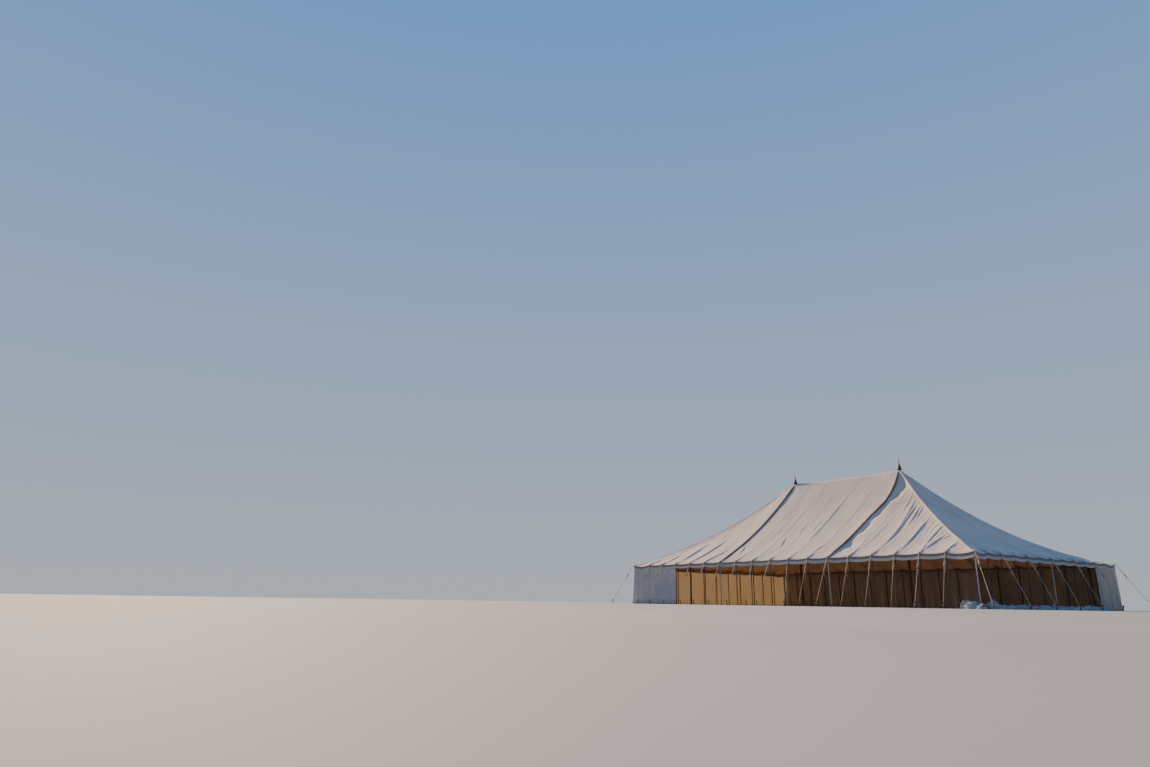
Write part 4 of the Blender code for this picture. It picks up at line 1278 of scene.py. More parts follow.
    def end_seam(self, hand: int, name: str) -> bpy.types.Object:
        """The laced seam in the middle of an end slope, under its own narrow flap.

        Args:
            hand: -1 for the left end, 1 for the right one.
            name: the end's side, as in the pieces' names.

        Returns:
            The narrow flap.
        """
        side = Side.RIGHT if hand > 0 else Side.LEFT
        cloth = Cloth(f"end_seam_{name}")
        reach = FORM.length / 2 - FORM.king_x
        t = np.linspace(0.02, reach - 0.13, 80)
        across = np.linspace(-0.05, 0.05, 5)
        grid_t = np.repeat(t[:, None], len(across), 1)
        u = FORM.width / 2 + np.broadcast_to(across, grid_t.shape)
        places = FOLDS.canvas(side, u, grid_t)
        places[..., 2] += 0.006 + 0.004 * bell(across, 0.03)
        cloth.grid(places, self._uv(np.broadcast_to(across + 0.4, u.shape), grid_t, 0.2))
        made = Bench.thicken(cloth.make(self.finishes.roof), self.flap_canvas)
        return finish_piece(made, Slot.CANVAS)

    def patches(self) -> dict[str, list[bpy.types.Object]]:
        """Reinforcing patches at every eave point but the corners, and brass eyelets at every eave point.

        Returns:
            The pieces of each section, by its name.
        """
        spans = {
            "left": [*range(42, 60), *range(0, 6)],
            "middle": [*range(6, 13), *range(37, 43)],
            "right": list(range(13, 37)),
        }
        bpy.ops.mesh.primitive_torus_add(
            major_radius=0.017, minor_radius=0.004, major_segments=14, minor_segments=5
        )
        ring = Bench.added("eyelet_pattern")
        ring.data.materials.append(self.finishes.brass)
        ring.data.shade_smooth()
        pieces: dict[str, list[bpy.types.Object]] = {}
        for name, points in spans.items():
            cloth, rings = Cloth(f"eave_patches_{name}"), []
            for point in points:
                if point not in CORNERS:
                    self._patch(cloth, point)
                here, away = FORM.pole_plan(point), FORM.outward(point)
                inset = FORM.pole_radius(point) + FORM.pole_to_edge
                rings.append(frame_at(here[0], here[1], FOLDS.height_over(point, inset) + 0.006, away, 0.5))
            # The patches take the valance's finish and sit wholly in its painted shade band, so they come out
            # dark all over.
            patch = Bench.thicken(cloth.make(self.finishes.curtain), self.flap_canvas)
            finish_piece(patch, Slot.CANVAS)
            eyelets = finish_piece(Bench.copies(ring, f"eave_eyelets_{name}", rings), Slot.METAL)
            pieces[name] = [patch, eyelets]
        Bench.drop(ring)
        return pieces

    def _patch(self, cloth: Cloth, point: int) -> None:
        """A tapered patch of doubled canvas over one eave point."""
        index = int(side_of(point))
        side, bay = Side(index), FORM.bays[index]
        rows, columns = 7, 7
        length = self.patch * 1.5
        t = np.linspace(0.004, length, rows)[:, None] * np.ones(columns)
        wide = self.patch / 2 * (1 - 0.55 * t / length)
        u = (point - STARTS[index]) * bay + np.linspace(-1, 1, columns) * wide
        places = FOLDS.canvas(side, u, t)
        places[..., 2] += self.flap_lift + 0.0005
        cloth.grid(places, self._uv(u - point * bay + 0.5, t, 0.3))


# Valance and walls


Profile = Callable[[np.ndarray, np.ndarray], tuple[np.ndarray, np.ndarray]]


@dataclass
class Curtains:
    """Valance strips and hung walls, with hems and slight folds."""

    finishes: Finishes
    columns: int = 14  # of a valance, in each bay
    wall_columns: int = 22
    gap: float = 0.0002  # how far each end keeps back, in bays
    corner_gap: float = 0.012

    def _strip(
        self, name: str, ends: tuple[float, float], rows: np.ndarray, profile: Profile,
        gaps: tuple[float, float], material: bpy.types.Material, columns: int,
    ) -> bpy.types.Object:
        """A hung strip between two eave points.

        Args:
            name: the piece's name.
            ends: its first and last eave point.
            rows: shares of the drop, from the top down.
            profile: gives distance outside the eave line and height from eave points and shares.
            gaps: how far each end keeps back, in bays.
            material: the finish.
            columns: columns in each bay.

        Returns:
            The closed strip.
        """
        cloth = Cloth(name)
        first, last = ends
        steps = round((last - first) * columns)
        points = first + np.arange(steps + 1) / columns
        points[0] += gaps[0]
        points[-1] -= gaps[1]
        grid_p = np.broadcast_to(points, (len(rows), len(points)))
        grid_r = np.broadcast_to(rows[:, None], grid_p.shape)
        out, height = profile(grid_p, grid_r)
        places = np.concatenate([self._outset(grid_p, out), height[..., None]], -1)
        drop = height[0].max() - height[-1].min()
        cloth.grid(places, np.stack([grid_p - first, (1 - grid_r) * drop], -1), flip=True)
        made = Bench.thicken(cloth.make(material), FORM.curtain)
        made.data.shade_smooth()
        return made

    @staticmethod
    def _outset(points: np.ndarray, out: np.ndarray) -> np.ndarray:
        """The eave plan moved out, mitred at the corners and square elsewhere."""
        whole, share = np.floor(points), np.mod(points, 1.0)
        low = FORM.outset(whole, out)
        high = FORM.outset(whole + 1, out)
        return low * (1 - share[..., None]) + high * share[..., None]

    def valances(self) -> None:
        """The strips under the eave, one to each run of canvas."""
        spans = {
            "valance_left": (42, 66), "valance_front": (6, 12), "valance_right": (12, 36),
            "valance_back": (36, 42),
        }
        rows = np.array([0.0, 0.15, 0.35, 0.55, 0.75, 0.86, 0.90, 0.94, 1.0])

        def hang(points: np.ndarray, rows: np.ndarray) -> tuple[np.ndarray, np.ndarray]:
            """Distance out and height of the valance's outer face."""
            share = np.mod(points, 1.0)
            slack = np.sin(np.pi * share) ** 2
            wave = 0.5 + 0.5 * np.sin(points * 17.3 + 1.3 * np.sin(points * 2.9))
            bottom_dip = 0.006 * np.sin(points * 11.0)
            out = rows * (0.003 + 0.012 * slack * wave) + 0.0015 * (rows > 0.88)
            top = FORM.eave_height - FORM.canvas - 2 * SECTION_GAP - FORM.dip(points)
            low = FORM.eave_height - FORM.valance_depth - FORM.dip(points) + bottom_dip * slack
            return out, top + (low - top) * rows

        gaps = (self.gap, self.gap)
        for name, ends in spans.items():
            strip = self._strip(name + "_canvas", ends, rows, hang, gaps, self.finishes.curtain, self.columns)
            finish_piece(strip, Slot.CANVAS, name)

    def walls(self) -> None:
        """The hung walls, drawn in at the rope and let out in soft folds towards the ground."""
        spans = {
            "wall_front_panel": (0, 3), "wall_right_panel": (28, 30), "wall_back_right": (30, 36),
            "wall_back_middle": (36, 42), "wall_back_left": (42, 48), "wall_left_back": (48, 54),
            "wall_left_front": (54, 60),
        }
        rows = np.concatenate([np.linspace(0, 0.14, 5), np.linspace(0.2, 0.94, 14), [0.96, 0.98, 1.0]])
        top = FORM.eave_height - FORM.wall_rope_drop - 0.007 - SECTION_GAP
        hem = FORM.eave_height - FORM.valance_depth - FORM.corner_bay_dip
        hung = FORM.curtain + SECTION_GAP - FORM.pole_to_edge

        def hang(points: np.ndarray, rows: np.ndarray) -> tuple[np.ndarray, np.ndarray]:
            """Distance out and height of a wall's outer face."""
            height = top * (1 - rows) + 0.003 * rows
            low = np.clip((hem - height) / hem, 0, 1)
            wave = 0.6 * np.sin(points * 21.0 + 2.0 * np.sin(points * 3.7)) + 0.4 * np.sin(points * 9.3 + 1.0)
            fold = low**0.7 * (0.018 + 0.032 * low) * wave
            tight = np.exp(-((np.mod(points + 0.5, 1.0) - 0.5) / 0.10) ** 2)
            fold += 0.012 * tight * low * (1 - low)
            scallop = 0.010 * np.cos(points * 2 * np.pi * 3) * np.exp(-rows / 0.05)
            splay = (FORM.wall_splay - hung) * low
            out = hung + splay + np.maximum(
                fold, -0.9 * (FORM.wall_splay - hung) * low
            ) + 0.002 * (rows > 0.95)
            return out, height + np.minimum(scallop, 0) * (rows < 0.1)

        finishes = dict.fromkeys(("wall_left_back", "wall_left_front"), self.finishes.thin_wall)
        finishes |= {
            "wall_back_right": self.finishes.dense_wall, "wall_right_panel": self.finishes.stained_shaded_wall
        }
        for name, ends in spans.items():
            gaps = tuple(self.corner_gap if point % RING in CORNERS else self.gap for point in ends)
            finish = finishes.get(name, self.finishes.wall)
            wall = self._strip(name + "_canvas", ends, rows, hang, gaps, finish, self.wall_columns)
            finish_piece(wall, Slot.WALL, name)

    def build(self) -> None:
        """Builds valances and walls."""
        self.valances()
        self.walls()


# Poles


@dataclass
class Poles:
    """Side poles, corner poles and king poles with ferrules, spikes and the wall rope."""

    finishes: Finishes
    shoulder: float = 1.925  # height of a side pole's wood
    foot: float = 0.05
    ferrule: float = 0.09
    spike_radius: float = 0.007
    spike_above: float = 0.12
    wall_rope_radius: float = 0.007
    king_radius: float = 0.0575
    king_bands: tuple[float, float] = (3.0, 3.35)  # heights of the bands round the scarfed joint

    def _wooden(
        self, radius: float, height: float, sides: int, x: float, wood: bpy.types.Material
    ) -> bpy.types.Object:
        """Starts a pole with its lowest length, in wood and steel, its top face selected.

        Args:
            radius: its radius.
            height: how long this first length is.
            sides: how many sides its section has.
            x: where on the X axis it stands.
            wood: the finish of its wood.

        Returns:
            The pole, in edit mode.
        """
        bpy.ops.mesh.primitive_cylinder_add(
            vertices=sides, radius=radius, depth=height, location=(x, 0, height / 2)
        )
        pole = Bench.added("pole")
        pole.data.materials.append(wood)
        pole.data.materials.append(self.finishes.steel)
        Bench.pick(pole, lambda centre, normal: normal.z > 0.9)
        return pole

    def _side_pole(self, radius: float, wood: bpy.types.Material) -> bpy.types.Object:
        """A round pole with a bound foot, a steel ferrule and spike: extruded up from one cylinder.

        Args:
            radius: its radius.
            wood: the finish of its wood.

        Returns:
            The pole, which stands at the origin.
        """
        foot, ferrule, shoulder = self.foot, self.ferrule, self.shoulder
        pole = self._wooden(radius, foot, 14, 0.0, wood)
        steps = (
            (0.004, 0.93), (shoulder * 0.5, 1.02), (shoulder - shoulder * 0.5 - foot - ferrule - 0.008, 0.97),
            (0.001, 1.05), (ferrule, 1.0), (0.003, 0.86), (0.0008, self.spike_radius / radius / 0.86 * 1.05),
            (FORM.eave_height + self.spike_above - shoulder - 0.016, 0.9), (0.008, 0.45),
        )
        for rise, scale in steps:
            Bench.extrude(rise, scale)
        Bench.smooth_by_angle(pole)
        for face in pole.data.polygons:
            face.material_index = int(face.center.z > shoulder - ferrule - 0.004)
        return pole

    def side_poles(self) -> None:
        """One piece for each run, and one for each corner."""
        patterns = {
            False: self._side_pole(FORM.side_radius, self.finishes.dark_pole),
            True: self._side_pole(FORM.main_radius, self.finishes.pale_pole),
        }
        for name, (first, last) in RUNS.items():
            node_name = f"side_poles_{name}"
            parts = []
            for main in (False, True):
                stands = [self._stand(p) for p in range(first, last + 1) if (p in MAIN_POINTS) == main]
                if stands:
                    parts.append(Bench.copies(patterns[main], node_name, stands))
            finish_piece(Bench.joined(parts, node_name + "_wood"), Slot.POLE, node_name)
            self._wall_rope(name, first, last)
        for point, name in zip(CORNERS, CORNER_NAMES):
            node_name = f"corner_pole_{name}"
            pole = Bench.copies(patterns[True], node_name + "_wood", [self._stand(point)])
            finish_piece(pole, Slot.POLE, node_name)
        for pattern in patterns.values():
            Bench.drop(pattern)

    @staticmethod
    def _stand(point: int) -> Matrix:
        """Where a pole stands, each turned a little differently."""
        here = FORM.pole_plan(point)
        return Matrix.Translation((here[0], here[1], 0)) @ Matrix.Rotation(point * 1.7, 4, "Z")

    def _wall_rope(self, name: str, first: int, last: int) -> None:
        """The rope along the poles that the walls hook on, with a turn round each pole.

        Args:
            name: the run's name.
            first: its first pole's eave point.
            last: its last pole's.
        """
        inset, height = 0.018, FORM.eave_height - FORM.wall_rope_drop
        start, stop = run_ends(first, last)
        low, high = start + 0.001, stop - 0.001
        points = np.concatenate([[low, high], np.arange(first, last + 1), np.arange(start, stop, 0.125)])
        points = np.unique(points)
        points = points[(points >= low) & (points <= high)]
        if start % RING in CORNERS:
            points[0] = start + 0.055
        if stop % RING in CORNERS:
            points[-1] = stop - 0.055
        plan = FORM.outset(points, -inset)
        slack = 0.012 * np.sin(np.pi * np.mod(points, 1.0)) ** 2
        cloth = Cloth(f"wall_rope_{name}")
        cloth.tube(np.concatenate([plan, (height - slack)[:, None]], 1), self.wall_rope_radius, 7)
        for point in range(first, last + 1):
            here, radius = FORM.pole_plan(point), FORM.pole_radius(point) + 0.004
            angle = np.linspace(0, 2 * np.pi, 13)
            x, y = here[0] + radius * np.cos(angle), here[1] + radius * np.sin(angle)
            cloth.tube(np.stack([x, y, height - 0.012 + 0.014 * angle / 6.28], 1), 0.005, 5)
        finish_piece(cloth.make(self.finishes.rope), Slot.ROPE)

    def king_poles(self) -> None:
        """The two king poles: a foot shoe, a scarfed joint with two bands, and a spike through the peak.

        Each step of the extrusion is its rise, its cap's scale and whether it is steel.
        """
        top, foot = FORM.peak_height - 0.075, 0.06
        band, upper = self.king_bands
        ring = [(0.0005, 1.04, 1), (0.04, 1.0, 1), (0.0005, 0.962, 0)]
        steps = [
            (0.10, 1.0, 1), (0.004, 0.96, 0), (band - 0.164, 1.0, 0),
            *ring, (upper - band - 0.042, 1.0, 0),
            *ring, (top - upper - 0.165, 0.98, 0),
            (0.0005, 1.04, 1), (0.12, 1.0, 1), (0.003, 0.9, 1), (0.0005, 0.27, 1), (0.10, 1.0, 1),
        ]
        for hand, name in KINGS:
            x = hand * FORM.king_x
            pole = self._wooden(self.king_radius, foot, 28, x, self.finishes.king_pole)
            pole.name = pole.data.name = f"king_pole_{name}_wood"
            heights = [(0.0, 1)]
            z = foot
            for rise, scale, metal in steps:
                Bench.extrude(rise, scale, x)
                heights.append((z, metal))
                z += rise
            Bench.smooth_by_angle(pole)
            for face in pole.data.polygons:
                face.material_index = [metal for low, metal in heights if low <= face.center.z + 1e-6][-1]
            finish_piece(pole, Slot.KING_POLE, f"king_pole_{name}")

    def build(self) -> None:
        """Builds every pole."""
        self.side_poles()
        self.king_poles()


# Finials and ridge rope


@dataclass
class Peaks:
    """The two turned finials over the king poles, and the rope under the ridge."""

    finishes: Finishes
    profile: tuple[tuple[float, float], ...] = (  # radius and height above the peak
        (0.120, -0.014), (0.120, -0.006), (0.118, 0.004), (0.108, 0.014), (0.098, 0.024),
        (0.090, 0.055), (0.078, 0.10), (0.062, 0.15), (0.046, 0.20), (0.032, 0.245),
        (0.026, 0.258), (0.029, 0.268), (0.032, 0.280), (0.028, 0.292), (0.022, 0.300),
        (0.018, 0.315), (0.018, 0.40), (0.020, 0.408), (0.021, 0.418), (0.018, 0.430),
        (0.011, 0.442), (0.004, 0.478),
    )
    bore: float = 0.0155
    bore_top: float = 0.06
    rope_radius: float = 0.012
    rope_end: float = 0.14  # from a king pole's middle to where the straight rope ends
    splice_radius: float = 0.0695  # of the rope's turn round a king pole

    def finials(self) -> None:
        """Draws each cap up from a disc, ring by ring along the profile, and bores it for the spike."""
        (_, z0), (r1, z1) = self.profile[:2]
        for hand, name in KINGS:
            x, base = hand * FORM.king_x, FORM.peak_height + SECTION_GAP
            bpy.ops.mesh.primitive_cylinder_add(
                vertices=28, radius=r1, depth=z1 - z0, location=(x, 0, base + (z0 + z1) / 2)
            )
            finial = Bench.added(f"finial_{name}_cap")
            Bench.pick(finial, lambda centre, normal: normal.z > 0.9)
            for (low_r, low_z), (high_r, high_z) in zip(self.profile[1:], self.profile[2:]):
                Bench.extrude(high_z - low_z, high_r / low_r, x)
            Bench.pick(finial, lambda centre, normal: normal.z < -0.9)
            bpy.ops.mesh.inset(thickness=r1 - self.bore)
            Bench.extrude(self.bore_top - z0)
            Bench.smooth_by_angle(finial, 50)
            finial.data.materials.append(self.finishes.finial)
            finish_piece(finial, Slot.METAL, f"finial_{name}")

    def ridge_rope(self) -> None:
        """The rope in the canvas's ridge between the king poles, spliced round each of them."""
        x = np.linspace(-1, 1, 49) * (FORM.king_x - self.rope_end)
        z = FORM.ridge(x) - FORM.canvas - self.rope_radius * 1.42 - 0.004
        cloth = Cloth("ridge_rope_laid")
        cloth.tube(np.stack([x, np.zeros(x.shape), z], 1), self.rope_radius, 9)
        angle, share = np.linspace(0, 2 * np.pi, 21), np.linspace(0, 1, 5)
        for hand, _ in KINGS:
            pole = hand * FORM.king_x
            ring_x, ring_y = pole + self.splice_radius * np.cos(angle), self.splice_radius * np.sin(angle)
            cloth.tube(np.stack([ring_x, ring_y, np.full(21, float(z[0]) - 0.055)], 1), 0.0115, 7)
            link_x = np.linspace(hand * (FORM.king_x - self.rope_end), hand * (FORM.king_x - 0.075), 5)
            cloth.tube(np.stack([link_x, np.zeros(5), z[0] - 0.05 * share**1.5], 1), 0.0115, 7)
        finish_piece(cloth.make(self.finishes.ridge_rope), Slot.ROPE, "ridge_rope")

    def build(self) -> None:
        """Builds the finials and the ridge rope."""
        self.finials()
        self.ridge_rope()


# Guys and stakes


@dataclass(frozen=True)
class Line:
    """The way of one guy, from its eyelet over the canvas's edge down to its stake."""

    inner: np.ndarray  # above the eyelet
    over: np.ndarray  # where it bends over the edge
    tie: np.ndarray  # on the stake
    stake: np.ndarray  # the stake's foot
    away: np.ndarray  # the way out, level
    share: float  # how far down the runner sits

    @property
    def aside(self) -> np.ndarray:
        """The level direction square to the guy."""
        return np.array((-self.away[1], self.away[0], 0.0))

    @property
    def run(self) -> np.ndarray:
        """From the edge to the stake."""
        return self.tie - self.over

    @property
    def down(self) -> np.ndarray:
        """The guy's direction."""
        return self.run / float(np.linalg.norm(self.run))

    @property
    def runner(self) -> np.ndarray:
        """Where the runner sits."""
        return self.over + self.run * self.share


@dataclass
class Guys:
    """Guy ropes with wooden runners and loose tails, the eave rope, and the stakes."""

    finishes: Finishes
    radius: float = 0.010  # of the single rope below the runner
    strand: float = 0.0095  # of each strand above it
    tail: float = 0.0055
    overhang: float = 0.016
    end_stake_out: float = 0.75
    long_stake_outs: tuple[float, ...] = (  # from the left end to the right
        0.75, 0.85, 0.85, 0.65, 0.75, 0.80, 0.65, 0.50, 0.95, 0.40, 0.70, 0.90, 0.70, 0.60, 0.50, 0.60, 0.50,
    )
    corner_stake_out: float = 1.24
    tie_height: float = 0.13
    stake_lean: float = 0.05 / 0.22
    runner_drop: float = 0.56  # how far below the eave the runner sits
    opening: float = 0.011  # half the gap between the two strands at its widest
    hitch_radius: float = 0.026  # of the turns that the free end makes round both strands
    loop: tuple[tuple[float, float], ...] = (  # round the spike: out from it, and aside
        (-0.017, 0.002), (-0.012, 0.012), (0.0, 0.014), (0.018, 0.009),
    )

    @staticmethod
    def _guyed(first: int, last: int) -> list[int]:
        """Eave points of a run that have a guy: all of them along a side, every other one along an end."""
        side = int(side_of(first))
        step = 1 if Side(side) in LONG_SIDES else 2
        return [point for point in range(first, last + 1) if (point - STARTS[side]) % step == 0]

    def _foot(self, point: int) -> np.ndarray:
        """Plan of a stake's foot."""
        away = FORM.outward(point)
        if point % RING in CORNERS:
            return FORM.straight(np.array(point)) + away * self.corner_stake_out
        out = self.end_stake_out
        if point < STARTS[1]:
            out = self.long_stake_outs[point - 1]
        elif STARTS[2] < point < STARTS[3]:
            out = self.long_stake_outs[STARTS[3] - point - 1]
        return FORM.eave(np.array(point)) + away * out

    def _line(self, point: int, share_off: float) -> Line:
        """Lays out one guy.

        Args:
            point: its eave point.
            share_off: how far the runner is off its usual share of the way down.

        Returns:
            The guy's line.
        """
        away = FORM.outward(point)
        inset = FORM.pole_radius(point) + FORM.pole_to_edge
        inner = np.append(FORM.pole_plan(point) + away * 0.002, FOLDS.height_over(point, inset) + 0.017)
        edge = FORM.eave(np.array(point)) + away * self.overhang
        over = np.append(edge, FORM.eave_height + 0.006)
        foot = self._foot(point)
        tie = np.append(foot + away * self.stake_lean * self.tie_height, self.tie_height)
        share = self.runner_drop / -(tie - over)[2] + share_off
        return Line(inner, over, tie, np.append(foot, 0.0), np.append(away, 0.0), share)

    def _guy(self, cloth: Cloth, point: int, rng: np.random.Generator) -> Matrix:
        """Adds one guy's rope.

        Args:
            cloth: the ropes' piece.
            point: the guy's eave point.
            rng: where the chance in it comes from.

        Returns:
            The transform to where its runner sits.
        """
        line = self._line(point, rng.uniform(-0.03, 0.03))
        self._strands(cloth, line, self.opening * rng.uniform(0.8, 1.2))
        self._single(cloth, line)
        self._tail(cloth, line, rng.uniform(0.16, 0.34), rng.uniform(-0.4, 0.4))
        self._hitch(cloth, line, point)
        z_axis, x_axis = Vector(-line.down), Vector(line.aside)
        turn = Matrix((x_axis, z_axis.cross(x_axis), z_axis)).transposed().to_4x4()
        return Matrix.Translation(Vector(line.runner)) @ turn

    def _strands(self, cloth: Cloth, line: Line, gap: float) -> None:
        """Adds the loop round the spike and the two strands from it down to the runner.

        Args:
            cloth: the ropes' piece.
            line: the guy's line.
            gap: half the gap between the strands at its widest.
        """
        drop = np.linspace(0, line.share, 12)
        for hand, _ in KINGS:
            spread = hand * (0.0085 + gap * np.sin(np.pi * (drop / line.share) ** 1.6) ** 1.2)
            strand = line.over + line.run * drop[:, None] + line.aside * spread[:, None]
            sideways = line.aside * hand
            loop = [line.inner + line.away * out + sideways * off for out, off in self.loop]
            loop.append((line.inner + line.over) / 2 + sideways * 0.006 + np.array((0, 0, 0.003)))
            cloth.tube(np.concatenate([loop, strand]), self.strand, 6)

    def _single(self, cloth: Cloth, line: Line) -> None:
        """Adds the single rope below the runner, and its two turns round the stake.

        Args:
            cloth: the ropes' piece.
            line: the guy's line.
        """
        low = np.linspace(line.share - 0.012, 1.0, 10)
        sag = -0.004 * np.sin(np.pi * (low - line.share) / (1 - line.share))
        single = line.over + line.run * low[:, None] + np.array((0, 0, 1.0)) * sag[:, None]
        cloth.tube(single, self.radius, 7)
        angle = np.linspace(0, 4 * np.pi, 25)
        height = self.tie_height - 0.012 + 0.024 * angle / angle[-1]
        around = np.cos(angle)[:, None] * line.away + np.sin(angle)[:, None] * line.aside
        wrap = line.stake + line.away * self.stake_lean * height[:, None] + 0.0275 * around
        wrap[:, 2] = height
        cloth.tube(wrap, 0.0065, 6)

    def _tail(self, cloth: Cloth, line: Line, length: float, sway: float) -> None:
        """Adds the loose end below the runner, with its knot.

        Args:
            cloth: the ropes' piece.
            line: the guy's line.
            length: how far the end hangs down.
            sway: how far it swings aside.
        """
        drop = np.linspace(0, 1, 8) * length
        aside = line.aside * (0.016 + 0.03 * np.sin(drop * 9) * sway)[:, None]
        tail = line.runner + aside - line.away * (0.10 * drop)[:, None]
        tail[:, 2] -= drop
        cloth.tube(tail, self.tail, 6)
        angle = np.linspace(0, 2 * np.pi, 9)[:, None]
        knot = tail[-2] + 0.006 * np.cos(angle) * line.aside + 0.006 * np.sin(angle) * line.away
        cloth.tube(knot, 0.006, 5)

    def _hitch(self, cloth: Cloth, line: Line, point: int) -> None:
        """Adds seven turns of the free end round both strands above the runner.

        Args:
            cloth: the ropes' piece.
            line: the guy's line.
            point: the guy's eave point.
        """
        turns = np.linspace(0, 14 * np.pi, 71)
        middle = line.over + line.run * (line.share * (0.97 - 0.20 * turns / turns[-1]))[:, None]
        down, away = line.down, line.away
        bound = np.array((-down[2] * away[0], -down[2] * away[1], away @ down))
        lap = self.hitch_radius * (1 + 0.12 * np.sin(turns * 0.31 + point))[:, None]
        around = np.cos(turns)[:, None] * line.aside + np.sin(turns)[:, None] * bound
        cloth.tube(middle + lap * around, 0.0075, 5)

    def _runner(self) -> bpy.types.Object:
        """A wooden runner: a flat oval bar with a shallow recess in each face."""
        bpy.ops.mesh.primitive_cylinder_add(vertices=12, radius=0.017, depth=0.02, location=(0, 0, 0))
        runner = Bench.added("runner_pattern")
        bpy.ops.object.mode_set(mode="EDIT")
        bpy.ops.mesh.select_all(action="SELECT")
        bpy.ops.transform.resize(value=(2.3, 1.0, 1.0), center_override=(0, 0, 0))
        bpy.ops.object.mode_set(mode="OBJECT")
        for sign in (1, -1):
            Bench.pick(runner, lambda centre, normal, sign=sign: normal.z * sign > 0.9)
            bpy.ops.mesh.inset(thickness=0.004, depth=0.003)
        bpy.ops.object.mode_set(mode="OBJECT")
        sharp = math.radians(35)
        Bench.apply(runner, "BEVEL", width=0.002, segments=2, limit_method="ANGLE", angle_limit=sharp)
        Bench.smooth_by_angle(runner)
        runner.data.materials.append(self.finishes.stake)
        return runner

    def _stake(self) -> bpy.types.Object:
        """A stake's part above ground: a cleft round with a chamfered, battered head and a notch."""
        bpy.ops.mesh.primitive_cylinder_add(vertices=10, radius=0.022, depth=0.09, location=(0, 0, 0.045))
        stake = Bench.added("stake_pattern")
        stake.data.materials.append(self.finishes.stake)
        Bench.pick(stake, lambda centre, normal: normal.z > 0.9)
        for rise, scale in ((0.012, 0.90), (0.04, 1.0), (0.012, 1.14), (0.055, 1.05), (0.012, 0.82)):
            Bench.extrude(rise, scale)
        bpy.ops.mesh.select_all(action="DESELECT")
        bpy.ops.object.mode_set(mode="OBJECT")
        for vertex in stake.data.vertices:
            vertex.co.x += vertex.co.z * self.stake_lean
            if vertex.co.z > 0.2:
                vertex.co.z += 0.004 * math.sin(vertex.co.x * 240) * math.cos(vertex.co.y * 190)
        Bench.smooth_by_angle(stake)
        return stake

    def _eave_rope(self, cloth: Cloth, first: int, last: int) -> None:
        """Adds the rope sewn in the canvas's edge along one run.

        Args:
            cloth: the ropes' piece.
            first: the run's first eave point.
            last: its last one.
        """
        start, stop = run_ends(first, last)
        points = np.arange(round((stop - start) * 8) + 1) / 8 + start
        points[0] += 0.032 if start % RING in CORNERS else 0.001
        points[-1] -= 0.032 if stop % RING in CORNERS else 0.001
        plan = FORM.outset(points, 0.0083, 0.125)
        height = FORM.eave_height - FORM.canvas / 2 - FORM.dip(points)
        cloth.tube(np.concatenate([plan, height[:, None]], 1), 0.008, 7)

    def build(self) -> None:
        """Builds ropes, runners and stakes for every run and corner."""
        rng = np.random.default_rng(SEED + 1)
        runner, stake = self._runner(), self._stake()
        groups = {f"guys_{name}": (self._guyed(*run), run) for name, run in RUNS.items()}
        groups |= {f"corner_guy_{name}": ([point], None) for point, name in zip(CORNERS, CORNER_NAMES)}
        for name, (points, run) in groups.items():
            cloth = Cloth(name + "_rope")
            if run:
                self._eave_rope(cloth, *run)
            runners = [self._guy(cloth, point, rng) for point in points]
            finish_piece(cloth.make(self.finishes.rope), Slot.ROPE, name)
            finish_piece(Bench.copies(runner, name + "_runners", runners), Slot.POLE)
            stands = [frame_at(*self._foot(point), 0.0, FORM.outward(point)) for point in points]
            finish_piece(Bench.copies(stake, name + "_stakes", stands), Slot.POLE)
        Bench.drop(runner)
        Bench.drop(stake)


# The wall that lies on the ground


